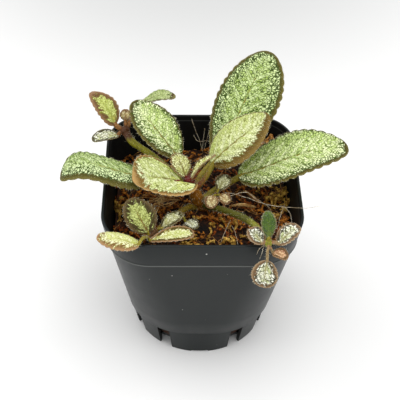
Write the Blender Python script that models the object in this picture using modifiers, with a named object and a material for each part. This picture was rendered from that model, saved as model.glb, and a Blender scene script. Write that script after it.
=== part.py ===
"""A flame violet in its square nursery pot, for Blender 4.5: metres, +Z up.

The pot stands on z = 0 with its axis on the Z axis, and the photographed side faces -Y.
"""

import math
import random
from dataclasses import dataclass

import bmesh
import bpy
from mathutils import Matrix, Vector, noise

MM = 0.001
GAP = 0.35 * MM  # between pieces that touch on the real plant

# Pot: a round foot that lofts into a square collar
POT_SIDE = 76 * MM
POT_HEIGHT = 74.5 * MM
POT_CORNER = 17 * MM
WALL = 1.2 * MM
RIM_ROUND = 0.4 * MM
COLLAR_HEIGHT = 12.4 * MM
COLLAR_TAPER = 1.5 * MM
COLLAR_STEP = 0.5 * MM
FOOT_RADIUS = 28.2 * MM
FOOT_HEIGHT = 14.2 * MM
FOOT_SIDE_HALF = 29.2 * MM
FOOT_CORNER = 24 * MM
FOOT_STEP = 0.95 * MM
FLOOR_UNDERSIDE = 3.5 * MM
FLOOR_TOP = 4.7 * MM
PAD_RADIUS = 7 * MM
PAD_DRAFT = 0.6 * MM
ROUND_SHY = 0.3 * MM  # keeps the arcs of a round section apart
CORNER_STEPS = 8
SLOT_WIDTH = 5.5 * MM
SLOT_DEPTH = 8 * MM
SLOT_TOP = FOOT_HEIGHT - 0.1 * MM
SLOT_OFF_AXIS = math.radians(30)
NOTCH_WIDTH = 7 * MM
NOTCH_HEIGHT = 0.8 * MM
NOTCH_DEPTH = 4 * MM
CUT_PAST = 1 * MM  # how far a cutter runs past the face that it opens

# Growing medium: matted moss and coir with a rough top
MEDIUM_GAP = 0.5 * MM
MEDIUM_LEVEL = 61 * MM
MEDIUM_EDGE = 57 * MM
MEDIUM_FALL = 2.2 * MM  # from the front down to the middle, and again to the back
MEDIUM_LEAN = 0.8 * MM  # from the middle up to the right
MOUND_RISE = 1.2 * MM
MOUND_REACH = 18 * MM
MEDIUM_RINGS = 12
SMALLEST_RING = 0.04  # as a share of the widest
RELIEF = 1.5 * MM
CLUMP = 7 * MM
RIDGE = 5 * MM
STRANDS = 11
STRAND_RADIUS = 0.5 * MM
STRAND_SUNK = 1.5 * MM
SEED = 11

# Crown stem, from its foot in the medium to its tip
STEM_POINTS = ((0, -4, 47), (0, -4.2, 60), (-1, -5.4, 66), (-3.4, -6.6, 73), (-5.6, -7.5, 79.6))
STEM_RADII = (2.6, 2.6, 2.5, 2.2, 1.7)
STEM_HOLE = 3.3 * MM
STEM_HOLE_DEPTH = 30 * MM

BLADE_THICKNESS = 0.7 * MM
BLADE_END = 0.5  # mm: half the width of a blade's base and tip
WIDE_LEAF = 18.5  # mm: leaves wider than this get a finer grid and a rounder stalk
PATH_STEPS = 3  # straight pieces between two points of a smoothed path
VEIN_STATIONS = (0.15, 0.35, 0.55, 0.75)  # where the stalk runs on under a wide blade
SHORT_VEIN_STATIONS = (0.3,)
VEIN_SUNK = 0.15 * MM  # how far a vein's top lies above the middle of the blade
VEIN_OFF_CENTRE = 0.04  # keeps the vein off the blade's own middle row of points
BEND_ROOM = 1.25  # least distance between a tube's points, in radii, so that no bend crosses itself

GREY_PLASTIC = (0.048, 0.056, 0.056)
MOSS = (0.30, 0.13, 0.035)
SILVER_GREEN = (0.42, 0.55, 0.30)
PALE_GREEN = (0.62, 0.65, 0.30)
BROWN_GREEN = (0.25, 0.22, 0.12)
STEM_RED = (0.32, 0.11, 0.05)
STEM_OLIVE = (0.30, 0.30, 0.08)


def mm(x, y, z):
    """A place or vector given in millimetres."""
    return Vector((x, y, z)) * MM


@dataclass
class Leaf:
    """One leaf: places in mm, angles in degrees, the rest in mm or as a share of length or width.

    The blade runs from base along heading (0 is +X, 90 is +Y) and pitch. Its stalk starts beside root,
    a point on the axis of its stem, leaves the stem along out, and passes the via points. The lobe and
    skew say how far its left edge is set back beside the base and at mid length.
    """

    name: str
    base: tuple
    heading: float
    pitch: float
    length: float
    width: float
    root: tuple
    out: tuple
    via: tuple = ()
    root_radius: float = 2.2
    roll: float = 0
    widest: float = 0.5
    blunt: float = 0.6
    arch: float = 0.06
    arch_at: float = 0.5
    cup: float = 0.1
    fold: float = 0
    sweep: float = 0
    lobe: float = 0
    skew: float = 0
    wave: float = 0
    teeth: int = 12
    tooth: float = 0.5
    stalk: float = 1.0
    colour: tuple = SILVER_GREEN


@dataclass
class Shoot:
    """A runner or side shoot that ends in a small crown: places and radii in mm."""

    name: str
    root: tuple
    out: tuple
    points: tuple
    radii: tuple
    crown: float
    root_radius: float = 2.7
    rootlets: tuple = ()
    colour: tuple = STEM_OLIVE


SHOOTS = (
    Shoot("runner_right", (-0.2, -4.9, 65), (0.7, -0.7, 0.1),
          ((4.7, -10.4, 67.3), (8.3, -15.5, 71), (12.5, -21, 74), (16, -25.2, 75.8), (19.6, -30.6, 77),
           (23.2, -39, 77.6)), (1.4, 1.3, 1.3, 1), 1.6,
          rootlets=(((22.4, -39.8, 77), (20.9, -41.2, 75.6), (19.9, -41, 73), (19.9, -40.6, 71)),)),
    Shoot("runner_back_left", (-2, -5.9, 69), (-0.7, 0.7, 0.1),
          ((-9.3, -0.4, 73.2), (-13.5, 4.8, 74.2), (-17.1, 8.8, 75), (-22.6, 13.4, 76),
           (-27.6, 17, 77.4), (-30.5, 21.3, 79.4)), (1.2, 1.3, 1.3, 1.5), 2.2),
    Shoot("runner_front_left", (-0.7, -4.9, 64), (-0.8, -0.6, 0.1),
          ((-4.8, -8.6, 66), (-8.6, -13.4, 67.7), (-14.2, -21, 69), (-20.4, -29.3, 70.5)),
          (1.3, 1.2, 1.1, 0.9), 1.5, root_radius=3),
    Shoot("side_shoot", (-1.6, -5.8, 68.2), (1, -0.4, 0.1),
          ((3.9, -6.9, 69.6), (5.6, -6.2, 70.4)), (0.8, 0.8, 0.8), 1.1, root_radius=2.4),
)

RIGHT_CROWN = SHOOTS[0].points[-1]
BACK_LEFT_CROWN = SHOOTS[1].points[-1]
FRONT_LEFT_CROWN = SHOOTS[2].points[-1]
SIDE_CROWN = SHOOTS[3].points[-1]

LEAVES = (
    Leaf("leaf_tall_back", (5.6, 6.6, 78.4), 58, 33, 48, 27.6, (-3, -6.4, 71.5), (0.3, 1, 0.2),
         via=((-0.2, 0.6, 74.2),), roll=-6, widest=0.54, blunt=0.55, arch=0.09, arch_at=0.58, cup=-0.16,
         sweep=-0.047, teeth=15, tooth=0.6, stalk=1.2),
    Leaf("leaf_pale_back", (3.8, 0.1, 80.5), 21, 38, 29, 18, (-3.8, -6.8, 74.2), (1, 0.35, 0.3),
         via=((1.4, -3.6, 77),), roll=14, widest=0.46, arch=0.11, arch_at=0.4, cup=-0.05, sweep=-0.035,
         teeth=10, colour=PALE_GREEN),
    Leaf("leaf_right", (14.2, 1, 74), 1, 18, 43.8, 24.5, (-1.4, -5.7, 67), (1, 0.5, 0.1),
         via=((5.2, -2, 68.8),), root_radius=2.7, roll=5, widest=0.47, blunt=0.48, arch=0.1, arch_at=0.64,
         sweep=-0.02, teeth=13, tooth=0.9, stalk=1.2),
    Leaf("leaf_back_left", (-8.8, 4.8, 80), 135, 28, 28.6, 17.6, (-4.2, -6.9, 75.5), (-0.3, 1, 0.3),
         via=((-6.2, 0.8, 78),), root_radius=2, blunt=0.55, cup=0.2, sweep=0.04, teeth=10),
    Leaf("leaf_left", (-17, -4.6, 78.2), 178, -2, 37.5, 16, (-3.5, -6.7, 73), (-1, 0.3, 0),
         via=((-11, -5.2, 75.4),), root_radius=2.4, roll=-8, widest=0.56, blunt=0.4, arch=0.22,
         arch_at=0.72, cup=-0.2, skew=4, wave=0.6, teeth=12, tooth=0.7),
    Leaf("leaf_folded", (-8.6, -9.4, 80.5), 179, 6, 18, 18.8, (-4.8, -7.1, 77), (-0.5, -1, 0.2),
         root_radius=2.4, roll=-9, blunt=0.5, arch=0.03, cup=-0.06, fold=0.21, sweep=-0.02, lobe=7,
         skew=4.6, teeth=9, colour=PALE_GREEN),
    Leaf("leaf_young_back", (-6.5, -7.7, 81.2), 120, 35, 9.8, 9.6, (-6, -7.3, 79.3), (-0.1, 0, 1),
         root_radius=0.1, roll=16, arch=0.1, cup=0, teeth=5, tooth=0.7, stalk=0.55, colour=PALE_GREEN),
    Leaf("leaf_young_right", (-4.4, -8.6, 80.9), 32, 33, 13, 5, (-4.8, -7.9, 79.6),
         (0.2, -0.2, 1), root_radius=0.4, roll=-25, cup=0, fold=0.6, teeth=6, tooth=0.4, stalk=0.55,
         colour=PALE_GREEN),
    Leaf("side_leaf_back", (6.2, -5.6, 72.5), 45, 27, 7, 6.8, SIDE_CROWN, (0.3, 0.3, 1),
         root_radius=1.1, cup=0.2, teeth=5, tooth=0.3, stalk=0.5),
    Leaf("side_leaf_front", (4.5, -7.8, 71.4), 252, -22, 5.6, 5.6, SIDE_CROWN, (-0.5, -1, 0.5),
         root_radius=1.1, blunt=0.5, cup=0.2, teeth=5, tooth=0.3, stalk=0.5, colour=PALE_GREEN),
    Leaf("side_leaf_right", (7, -7.3, 71.2), -42, -14, 5, 4.8, SIDE_CROWN, (1, -0.8, 0.4),
         root_radius=1.1, roll=16, blunt=0.5, cup=0.2, teeth=4, tooth=0.3, stalk=0.5, colour=BROWN_GREEN),
    Leaf("right_leaf_upright", (23.2, -38.9, 80.1), 98, 58, 9.9, 5.6, RIGHT_CROWN, (0.1, 0, 1),
         root_radius=1.6, widest=0.56, blunt=0.55, cup=0.45, teeth=4, tooth=0.2, stalk=0.65),
    Leaf("right_leaf_left", (20.8, -39.8, 78.1), 122, 14, 7.5, 6.8, RIGHT_CROWN, (-1, -0.1, 0.3),
         root_radius=1.6, roll=-8, blunt=0.5, cup=0.2, teeth=5, tooth=0.35, stalk=0.6),
    Leaf("right_leaf_right", (26.8, -39.7, 77.9), 40, 18, 10.2, 7.6, RIGHT_CROWN, (1, 0, 0.2),
         root_radius=1.6, blunt=0.45, cup=0.2, teeth=6, tooth=0.4, stalk=0.7),
    Leaf("right_leaf_bud", (24.8, -41.4, 75.2), -25, -4, 5.8, 5.6, RIGHT_CROWN, (0.5, -1, -0.7),
         root_radius=1.6, blunt=0.5, cup=0.4, teeth=4, tooth=0.3, stalk=0.5, colour=BROWN_GREEN),
    Leaf("right_leaf_hanging", (22.9, -42.8, 72.2), 254, -65, 10.6, 10, RIGHT_CROWN, (0, -1, -0.1),
         via=((22.8, -42.2, 76.1),), root_radius=1.6, blunt=0.5, cup=0.15, teeth=8, tooth=0.4, stalk=0.5),
    Leaf("back_left_leaf_up", (-34.5, 22.5, 81.6), 141, 39, 16, 9.4, BACK_LEFT_CROWN,
         (-1, 0.3, 0.4), root_radius=2.2, roll=-18, widest=0.44, blunt=0.62, cup=0.12, sweep=-0.08, teeth=8,
         tooth=0.4, stalk=1, colour=BROWN_GREEN),
    Leaf("back_left_leaf_bud", (-30.4, 24.9, 81.9), 84, 56, 4.4, 4.6, BACK_LEFT_CROWN,
         (0.1, 0.8, 0.9), root_radius=2.2, blunt=0.5, cup=0.5, teeth=4, tooth=0.2, stalk=0.7,
         colour=BROWN_GREEN),
    Leaf("back_left_leaf_curled", (-33.1, 19.7, 78.7), 193, -3, 10.7, 8.6, BACK_LEFT_CROWN,
         (-1, -0.4, -0.2), root_radius=2.2, roll=8, blunt=0.42, cup=0.2, arch=0.05, teeth=5, tooth=0.2,
         stalk=0.8),
    Leaf("back_left_leaf_right", (-25.6, 31.6, 84.2), -12, 24, 17, 8, BACK_LEFT_CROWN,
         (0.6, 0.8, 0.5), via=((-28.2, 27.4, 82),), root_radius=2.2, blunt=0.5, arch=0.14, arch_at=0.6,
         teeth=8, tooth=0.5, stalk=0.8),
    Leaf("front_left_leaf_back", (-20.1, -29.4, 73), 124, 30, 14.6, 12.8, FRONT_LEFT_CROWN,
         (0, 0.2, 1), root_radius=1.5, widest=0.44, blunt=0.55, cup=0.2, sweep=0.03, teeth=9, tooth=0.5,
         stalk=0.7, colour=BROWN_GREEN),
    Leaf("front_left_leaf_rim", (-23.2, -39.8, 77.2), 167, 5, 15.5, 10, FRONT_LEFT_CROWN,
         (-0.2, -0.9, 0.8), via=((-22, -36.6, 77.4),), root_radius=1.5, roll=8, blunt=0.46, cup=-0.16,
         fold=-0.1, teeth=8, tooth=0.5, stalk=0.6, colour=PALE_GREEN),
    Leaf("front_left_leaf_right", (-19.8, -31.9, 71.4), 10, 4, 16.8, 8, FRONT_LEFT_CROWN,
         (0.4, -1, 0.2), root_radius=1.5, widest=0.62, blunt=0.5, cup=0.12, teeth=8, tooth=0.5, stalk=0.6,
         colour=PALE_GREEN),
    Leaf("front_left_leaf_silver", (-15.2, -25, 71), 41, 8, 10.4, 6.8, (-17.2, -25, 69.8),
         (0.8, 0, 0.6), root_radius=1.2, roll=-8, cup=0.15, teeth=6, tooth=0.4, stalk=0.6),
    Leaf("front_left_leaf_small", (-6.4, -18.4, 67.9), -40, 4, 6, 5.2, (-8.6, -13.4, 67.7),
         (0.6, -0.8, 0.1), root_radius=1.2, cup=0.2, teeth=4, tooth=0.3, stalk=0.5),
)


def clear_scene():
    for thing in list(bpy.data.objects):
        bpy.data.objects.remove(thing, do_unlink=True)


def make_collection(name, helper=False):
    made = bpy.data.collections.new(name)
    bpy.context.scene.collection.children.link(made)
    made.hide_render = helper
    return made


def material(name, colour, roughness, metallic=0.0):
    made = bpy.data.materials.new(name)
    made.use_nodes = True
    shader = made.node_tree.nodes["Principled BSDF"]
    shader.inputs["Base Color"].default_value = (*colour, 1)
    shader.inputs["Roughness"].default_value = roughness
    shader.inputs["Metallic"].default_value = metallic
    made.diffuse_color = (*colour, 1)
    return made


def object_from(shape, name, collection):
    """An object of this bmesh, its faces turned outwards; the bmesh is freed."""
    bmesh.ops.recalc_face_normals(shape, faces=shape.faces)
    mesh = bpy.data.meshes.new(name)
    shape.to_mesh(mesh)
    shape.free()
    made = bpy.data.objects.new(name, mesh)
    collection.objects.link(made)
    return made


def bake(thing):
    """Puts the evaluated mesh in place of the modifiers."""
    bpy.context.view_layer.update()
    graph = bpy.context.evaluated_depsgraph_get()
    baked = bpy.data.meshes.new_from_object(thing.evaluated_get(graph))
    thing.modifiers.clear()
    thing.data = baked


def joined_points(start):
    """Every point that edges join to this one."""
    body = {start}
    edge = {start}
    while edge:
        edge = {link.other_vert(corner) for corner in edge for link in corner.link_edges} - body
        body |= edge
    return body


def keep_main_body(thing):
    """Drops loose scraps and fills sealed hollows: only the largest of the joined surfaces stays."""
    shape = bmesh.new()
    shape.from_mesh(thing.data)
    bodies = []
    seen = set()
    for corner in shape.verts:
        if corner not in seen:
            bodies.append(joined_points(corner))
            seen |= bodies[-1]
    bodies.sort(key=len)
    for body in bodies[:-1]:
        bmesh.ops.delete(shape, geom=list(body), context="VERTS")
    shape.to_mesh(thing.data)
    shape.free()


def combine(thing, others, operation):
    """One applied Boolean of thing with all the others, which are then removed."""
    batch = bpy.data.collections.new("batch")
    bpy.context.scene.collection.children.link(batch)
    for other in others:
        for holder in list(other.users_collection):
            holder.objects.unlink(other)
        batch.objects.link(other)
    modifier = thing.modifiers.new(operation.title(), "BOOLEAN")
    modifier.operation = operation
    modifier.solver = "MANIFOLD"
    modifier.operand_type = "COLLECTION"
    modifier.collection = batch
    bake(thing)
    keep_main_body(thing)
    for other in others:
        bpy.data.objects.remove(other, do_unlink=True)
    bpy.data.collections.remove(batch)


def smooth_path(points, steps=PATH_STEPS):
    """Points along a Catmull-Rom curve through the given ones."""
    ends = [2 * points[0] - points[1], *points, 2 * points[-1] - points[-2]]
    path = []
    for before, start, end, after in zip(ends, ends[1:], ends[2:], ends[3:]):
        for step in range(steps):
            t = step / steps
            path.append(0.5 * (2 * start + (end - before) * t
                               + (2 * before - 5 * start + 4 * end - after) * t * t
                               + (3 * start - before - 3 * end + after) * t ** 3))
    return [*path, points[-1]]


def spread(values, count):
    """count values, evenly spaced along the given ones."""
    out = []
    for index in range(count):
        place = index / (count - 1) * (len(values) - 1)
        low = min(int(place), len(values) - 2)
        out.append(values[low] + (values[low + 1] - values[low]) * (place - low))
    return out


def thinned(path, radii):
    """The path and its radii without points so close together that a bend would cross itself."""
    kept = [0]
    for index in range(1, len(path)):
        if (path[index] - path[kept[-1]]).length > BEND_ROOM * radii[index]:
            kept.append(index)
    if kept[-1] < len(path) - 1:
        kept = [*(kept[:-1] or kept), len(path) - 1]
    return [path[index] for index in kept], [radii[index] for index in kept]


def tube(name, path, radii, collection, sides=6):
    """A closed tube along path, with a radius at each of its points, as a mesh."""
    curve = bpy.data.curves.new(name, "CURVE")
    curve.dimensions = "3D"
    curve.bevel_depth = 1.0
    curve.bevel_resolution = (sides - 4) // 2
    curve.use_fill_caps = True
    line = curve.splines.new("POLY")
    line.points.add(len(path) - 1)
    for point, place, radius in zip(line.points, path, radii):
        point.co = (*place, 1)
        point.radius = radius
    guide = bpy.data.objects.new(name, curve)
    collection.objects.link(guide)
    bpy.context.view_layer.update()
    graph = bpy.context.evaluated_depsgraph_get()
    mesh = bpy.data.meshes.new_from_object(guide.evaluated_get(graph))
    bpy.data.objects.remove(guide, do_unlink=True)
    bpy.data.curves.remove(curve)
    shape = bmesh.new()
    shape.from_mesh(mesh)
    bpy.data.meshes.remove(mesh)
    bmesh.ops.remove_doubles(shape, verts=shape.verts, dist=0.001 * MM)
    return object_from(shape, name, collection)


def section(half, corner, height):
    """Points round a square with rounded corners, anticlockwise."""
    corner = min(corner, half - ROUND_SHY)
    points = []
    for quarter in range(4):
        turn = Matrix.Rotation(quarter * math.pi / 2, 3, "Z")
        for step in range(CORNER_STEPS + 1):
            angle = step / CORNER_STEPS * math.pi / 2
            across = half - corner + corner * math.cos(angle)
            along = half - corner + corner * math.sin(angle)
            points.append(turn @ Vector((across, along, height)))
    return points


def loft(name, rings, collection):
    """A closed skin over rings of equally many points, capped at both ends."""
    shape = bmesh.new()
    rows = [[shape.verts.new(point) for point in ring] for ring in rings]
    for lower, upper in zip(rows, rows[1:]):
        for index, corner in enumerate(lower):
            following = (index + 1) % len(lower)
            shape.faces.new((corner, lower[following], upper[following], upper[index]))
    shape.faces.new(list(reversed(rows[0])))
    shape.faces.new(rows[-1])
    return object_from(shape, name, collection)


def box(name, size, centre, turn, collection):
    """A block of this size, moved to centre and then turned about the Z axis."""
    shape = bmesh.new()
    place = Matrix.Rotation(turn, 4, "Z") @ Matrix.Translation(centre) @ Matrix.Diagonal((*size, 1))
    bmesh.ops.create_cube(shape, size=1, matrix=place)
    return object_from(shape, name, collection)


def inner_half(height):
    """Half the width inside the pot at a height between foot band and collar."""
    collar_foot = POT_HEIGHT - COLLAR_HEIGHT
    share = (height - FOOT_HEIGHT) / (collar_foot - FOOT_HEIGHT)
    low = FOOT_SIDE_HALF + FOOT_STEP - WALL
    high = POT_SIDE / 2 - COLLAR_TAPER - COLLAR_STEP - WALL
    return low + (high - low) * share


def inner_corner(height):
    share = (height - FOOT_HEIGHT) / (POT_HEIGHT - COLLAR_HEIGHT - FOOT_HEIGHT)
    return FOOT_CORNER + (POT_CORNER - WALL - FOOT_CORNER) * share


def make_pot(collection, helpers):
    half = POT_SIDE / 2
    collar_foot = POT_HEIGHT - COLLAR_HEIGHT
    collar_half = half - COLLAR_TAPER
    above_foot = FOOT_HEIGHT + 4 * MM
    rings = [
        section(PAD_RADIUS, PAD_RADIUS, 0),
        section(PAD_RADIUS + PAD_DRAFT, half, FLOOR_UNDERSIDE),
        section(FOOT_RADIUS - WALL, half, FLOOR_UNDERSIDE),
        section(FOOT_RADIUS - WALL, half, 0),
        section(FOOT_RADIUS, half, 0),
        section(FOOT_SIDE_HALF, FOOT_CORNER, FOOT_HEIGHT),
        section(FOOT_SIDE_HALF + FOOT_STEP, FOOT_CORNER + FOOT_STEP, FOOT_HEIGHT + 0.4 * MM),
        section(collar_half - COLLAR_STEP, POT_CORNER - COLLAR_STEP, collar_foot - 0.3 * MM),
        section(collar_half, POT_CORNER, collar_foot),
        section(half, POT_CORNER, POT_HEIGHT - RIM_ROUND),
        section(half - RIM_ROUND, POT_CORNER - RIM_ROUND, POT_HEIGHT),
        section(half - WALL, POT_CORNER - WALL, POT_HEIGHT),
        section(half - WALL - RIM_ROUND, POT_CORNER - WALL, POT_HEIGHT - RIM_ROUND),
        section(inner_half(collar_foot), inner_corner(collar_foot), collar_foot),
        section(inner_half(above_foot), inner_corner(above_foot), above_foot),
        section(FOOT_SIDE_HALF - WALL, FOOT_CORNER - WALL, FOOT_HEIGHT),
        section(FOOT_RADIUS - WALL + 0.4 * MM, half, FLOOR_TOP),
    ]
    pot = loft("pot", rings, collection)
    cutters = []
    slot_size = (SLOT_WIDTH, SLOT_DEPTH, SLOT_TOP + CUT_PAST)
    slot_place = Vector((0, -FOOT_RADIUS + 2 * MM - SLOT_DEPTH / 2, (SLOT_TOP - CUT_PAST) / 2))
    notch_size = (NOTCH_WIDTH, NOTCH_DEPTH, 2 * NOTCH_HEIGHT)
    notch_place = Vector((0, -FOOT_RADIUS, 0))
    for quarter in range(4):
        axis = quarter * math.pi / 2
        cutters.append(box(f"notch_{quarter}", notch_size, notch_place, axis, helpers))
        for side in (-1, 1):
            turn = axis + side * SLOT_OFF_AXIS
            cutters.append(box(f"slot_{quarter}_{side}", slot_size, slot_place, turn, helpers))
    combine(pot, cutters, "DIFFERENCE")
    pot.data.materials.append(material("pot_plastic", GREY_PLASTIC, 0.42))
    pot.data.shade_smooth()
    pot.data.set_sharp_from_angle(angle=math.radians(28))
    return pot


def medium_top(x, y):
    """The height of the medium's rough top: higher in front, lower along the back wall."""
    reach = POT_SIDE / 2
    level = MEDIUM_LEVEL - MEDIUM_FALL * y / reach + MEDIUM_LEAN * x / reach
    mound = MOUND_RISE * math.exp(-(x * x + y * y) / MOUND_REACH ** 2)
    clumps = noise.noise(Vector((x, y, 0)) / CLUMP)
    ridges = 1 - 2 * abs(noise.noise(Vector((x + y, 2.2 * (y - x), RIDGE)) / RIDGE))
    return level + mound + RELIEF * (clumps + 0.8 * ridges - 0.5)


def medium_rings():
    """Sections just inside the pot from its floor up, then ever smaller ones over the rough top."""
    rings = [section(FOOT_RADIUS - WALL - MEDIUM_GAP, POT_SIDE, FLOOR_TOP + MEDIUM_GAP),
             section(FOOT_SIDE_HALF - WALL - MEDIUM_GAP, FOOT_CORNER - WALL, FOOT_HEIGHT)]
    edge_half = inner_half(MEDIUM_EDGE) - MEDIUM_GAP
    edge_corner = inner_corner(MEDIUM_EDGE)
    for height in (FOOT_HEIGHT + 5 * MM, MEDIUM_EDGE):
        rings.append(section(inner_half(height) - MEDIUM_GAP, inner_corner(height), height))
    for ring in range(MEDIUM_RINGS):
        share = 1 - (1 - SMALLEST_RING) * ring / (MEDIUM_RINGS - 1)
        flat = section(edge_half * share, edge_corner * share, 0)
        rings.append([Vector((point.x, point.y, medium_top(point.x, point.y))) for point in flat])
    return rings


def strand_path(dice):
    """A moss strand that loops out of the medium and back in, clear of the stem."""
    reach = inner_half(MEDIUM_EDGE) - 7 * MM
    stem = mm(*STEM_POINTS[1])
    while True:
        middle = Vector((dice.uniform(-reach, reach), dice.uniform(-reach, reach), 0))
        if (middle.xy - stem.xy).length > 11 * MM:
            break
    heading = dice.uniform(0, math.pi)
    along = Vector((math.cos(heading), math.sin(heading), 0))
    side = Vector((-along.y, along.x, 0))
    half = dice.uniform(3.0, 5.5) * MM
    bend = dice.uniform(-0.35, 0.35) * half
    lift = dice.uniform(0.2, 1.1) * MM
    places = []
    for share in (-1, -0.5, 0, 0.5, 1):
        place = middle + along * half * share + side * bend * (1 - share * share)
        rise = lift * (1 - share * share) - STRAND_SUNK * share ** 4
        places.append(Vector((place.x, place.y, medium_top(place.x, place.y) + rise)))
    return smooth_path(places, 2)


def make_stem_hole(helpers):
    """The plain hole that the stem stands in, from just below its foot to above the medium."""
    foot = mm(*STEM_POINTS[0])
    place = Matrix.Translation(foot + Vector((0, 0, STEM_HOLE_DEPTH / 2 - MEDIUM_GAP)))
    shape = bmesh.new()
    bmesh.ops.create_cone(shape, cap_ends=True, segments=24, radius1=STEM_HOLE, radius2=STEM_HOLE,
                          depth=STEM_HOLE_DEPTH, matrix=place)
    return object_from(shape, "stem_hole", helpers)


def make_medium(collection, helpers):
    medium = loft("growing_medium", medium_rings(), collection)
    dice = random.Random(SEED)
    strands = []
    for index in range(STRANDS):
        path = strand_path(dice)
        strands.append(tube(f"strand_{index}", path, [STRAND_RADIUS] * len(path), helpers, sides=4))
    combine(medium, strands, "UNION")
    combine(medium, [make_stem_hole(helpers)], "DIFFERENCE")
    medium.data.materials.append(material("moss_fibre", MOSS, 0.95))
    return medium


def make_stem(collection):
    path = smooth_path([mm(*place) for place in STEM_POINTS])
    radii = [radius * MM for radius in spread(STEM_RADII, len(path))]
    stem = tube("crown_stem", path, radii, collection, sides=10)
    stem.data.materials.append(material("stem_red", STEM_RED, 0.6))
    stem.data.shade_smooth()
    return stem


def hump(u, peak):
    """0 at both ends of a blade and 1 where u reaches peak."""
    return math.sin(math.pi * u ** (math.log(0.5) / math.log(peak)))


def blade_frame(leaf):
    """The blade's axes as columns: along it, to its left, and out of its upper face."""
    heading = math.radians(leaf.heading)
    pitch = math.radians(leaf.pitch)
    along = Vector((math.cos(pitch) * math.cos(heading), math.cos(pitch) * math.sin(heading), math.sin(pitch)))
    left = Vector((0, 0, 1)).cross(along).normalized()
    face = along.cross(left)
    frame = Matrix((along, left, face)).transposed()
    return frame @ Matrix.Rotation(math.radians(leaf.roll), 3, "X")


def blade_point(leaf, u, v):
    """A point of the blade's middle surface: u runs from base to tip, v from -1 to 1 across."""
    length = leaf.length * MM
    profile = max(hump(u, leaf.widest), 0) ** leaf.blunt
    half = (BLADE_END + (leaf.width / 2 - BLADE_END) * profile) * MM
    notch = abs(math.cos(math.pi * leaf.teeth * u)) * leaf.tooth * MM * profile * abs(v) ** 6
    x = length * u - (leaf.lobe * max(v, 0) * (1 - u) ** 3 + leaf.skew * v * 4 * u * (1 - u)) * MM
    y = v * (half - notch) + leaf.sweep * length * 4 * u * (1 - u)
    z = leaf.arch * length * hump(u, leaf.arch_at) + half * profile * (leaf.cup * v * v + leaf.fold * abs(v))
    z += leaf.wave * MM * v * v * math.sin(2.5 * math.pi * u + v)
    return mm(*leaf.base) + blade_frame(leaf) @ Vector((x, y, z))


def make_blade(leaf, collection):
    """The blade: a grid bent to blade_point's surface, split into triangles, then thickened."""
    along = 2 * leaf.teeth
    across = 6 if leaf.width > WIDE_LEAF else 4
    shape = bmesh.new()
    bmesh.ops.create_grid(shape, x_segments=along, y_segments=across, size=1)
    for corner in shape.verts:
        corner.co = blade_point(leaf, (corner.co.x + 1) / 2, corner.co.y)
    bmesh.ops.triangulate(shape, faces=shape.faces)
    mesh = bpy.data.meshes.new(leaf.name)
    shape.to_mesh(mesh)
    shape.free()
    blade = bpy.data.objects.new(leaf.name, mesh)
    collection.objects.link(blade)
    solid = blade.modifiers.new("Solidify", "SOLIDIFY")
    solid.thickness = BLADE_THICKNESS
    solid.offset = 0
    bake(blade)
    return blade


def stalk_path(leaf):
    """From the stem's side to the blade, then under the midrib as far as the vein is thick."""
    wide = leaf.width > WIDE_LEAF
    stalk = leaf.stalk * MM
    out = Vector(leaf.out).normalized()
    start = mm(*leaf.root) + out * (leaf.root_radius * MM + GAP)
    below = blade_frame(leaf) @ Vector((0, 0, -1))
    joint = blade_point(leaf, 0.03, VEIN_OFF_CENTRE) + below * (stalk - VEIN_SUNK)
    lead = out * min(1.2 * stalk, 0.4 * (joint - start).length)
    points = [start, start + lead, *[mm(*place) for place in leaf.via], joint]
    path = smooth_path(points, PATH_STEPS if wide else 2)
    radii = [stalk] * len(path)
    for u in VEIN_STATIONS if wide else SHORT_VEIN_STATIONS:
        radius = stalk * (0.95 - 0.75 * u)
        path.append(blade_point(leaf, u, VEIN_OFF_CENTRE) + below * (radius - VEIN_SUNK))
        radii.append(radius)
    return thinned(path, radii)


def make_leaf(leaf, collection, helpers, finish):
    blade = make_blade(leaf, collection)
    path, radii = stalk_path(leaf)
    sides = 6 if leaf.width > WIDE_LEAF else 4
    combine(blade, [tube(f"{leaf.name}_stalk", path, radii, helpers, sides)], "UNION")
    blade.data.materials.append(finish)
    blade.data.shade_smooth()
    return blade


def make_shoot(shoot, collection, helpers):
    """A runner from the stem's side to its crown, with any rootlets, joined in one solid."""
    out = Vector(shoot.out).normalized()
    start = mm(*shoot.root) + out * (shoot.root_radius * MM + GAP)
    path = smooth_path([start, start + out * 1.5 * MM, *[mm(*place) for place in shoot.points]])
    path, radii = thinned(path, [radius * MM for radius in spread(shoot.radii, len(path))])
    runner = tube(shoot.name, path, radii, collection, sides=8)
    shape = bmesh.new()
    place = Matrix.Translation(path[-1])
    bmesh.ops.create_icosphere(shape, subdivisions=2, radius=shoot.crown * MM, matrix=place)
    extras = [object_from(shape, f"{shoot.name}_crown", helpers)]
    for index, rootlet in enumerate(shoot.rootlets):
        root_path = smooth_path([mm(*place) for place in rootlet], 3)
        root_radii = [radius * MM for radius in spread((0.5, 0.4, 0.3), len(root_path))]
        extras.append(tube(f"{shoot.name}_rootlet_{index}", root_path, root_radii, helpers, sides=4))
    combine(runner, extras, "UNION")
    runner.data.materials.append(material(f"{shoot.name}_skin", shoot.colour, 0.6))
    runner.data.shade_smooth()
    return runner


def main():
    clear_scene()
    parts = make_collection("flame_violet")
    helpers = make_collection("helpers", helper=True)
    make_pot(parts, helpers)
    make_medium(parts, helpers)
    make_stem(parts)
    for shoot in SHOOTS:
        make_shoot(shoot, parts, helpers)
    finishes = {
        SILVER_GREEN: material("leaf_silver_green", SILVER_GREEN, 0.6),
        PALE_GREEN: material("leaf_pale_green", PALE_GREEN, 0.6),
        BROWN_GREEN: material("leaf_brown_green", BROWN_GREEN, 0.7),
    }
    for leaf in LEAVES:
        make_leaf(leaf, parts, helpers, finishes[leaf.colour])


main()
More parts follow.
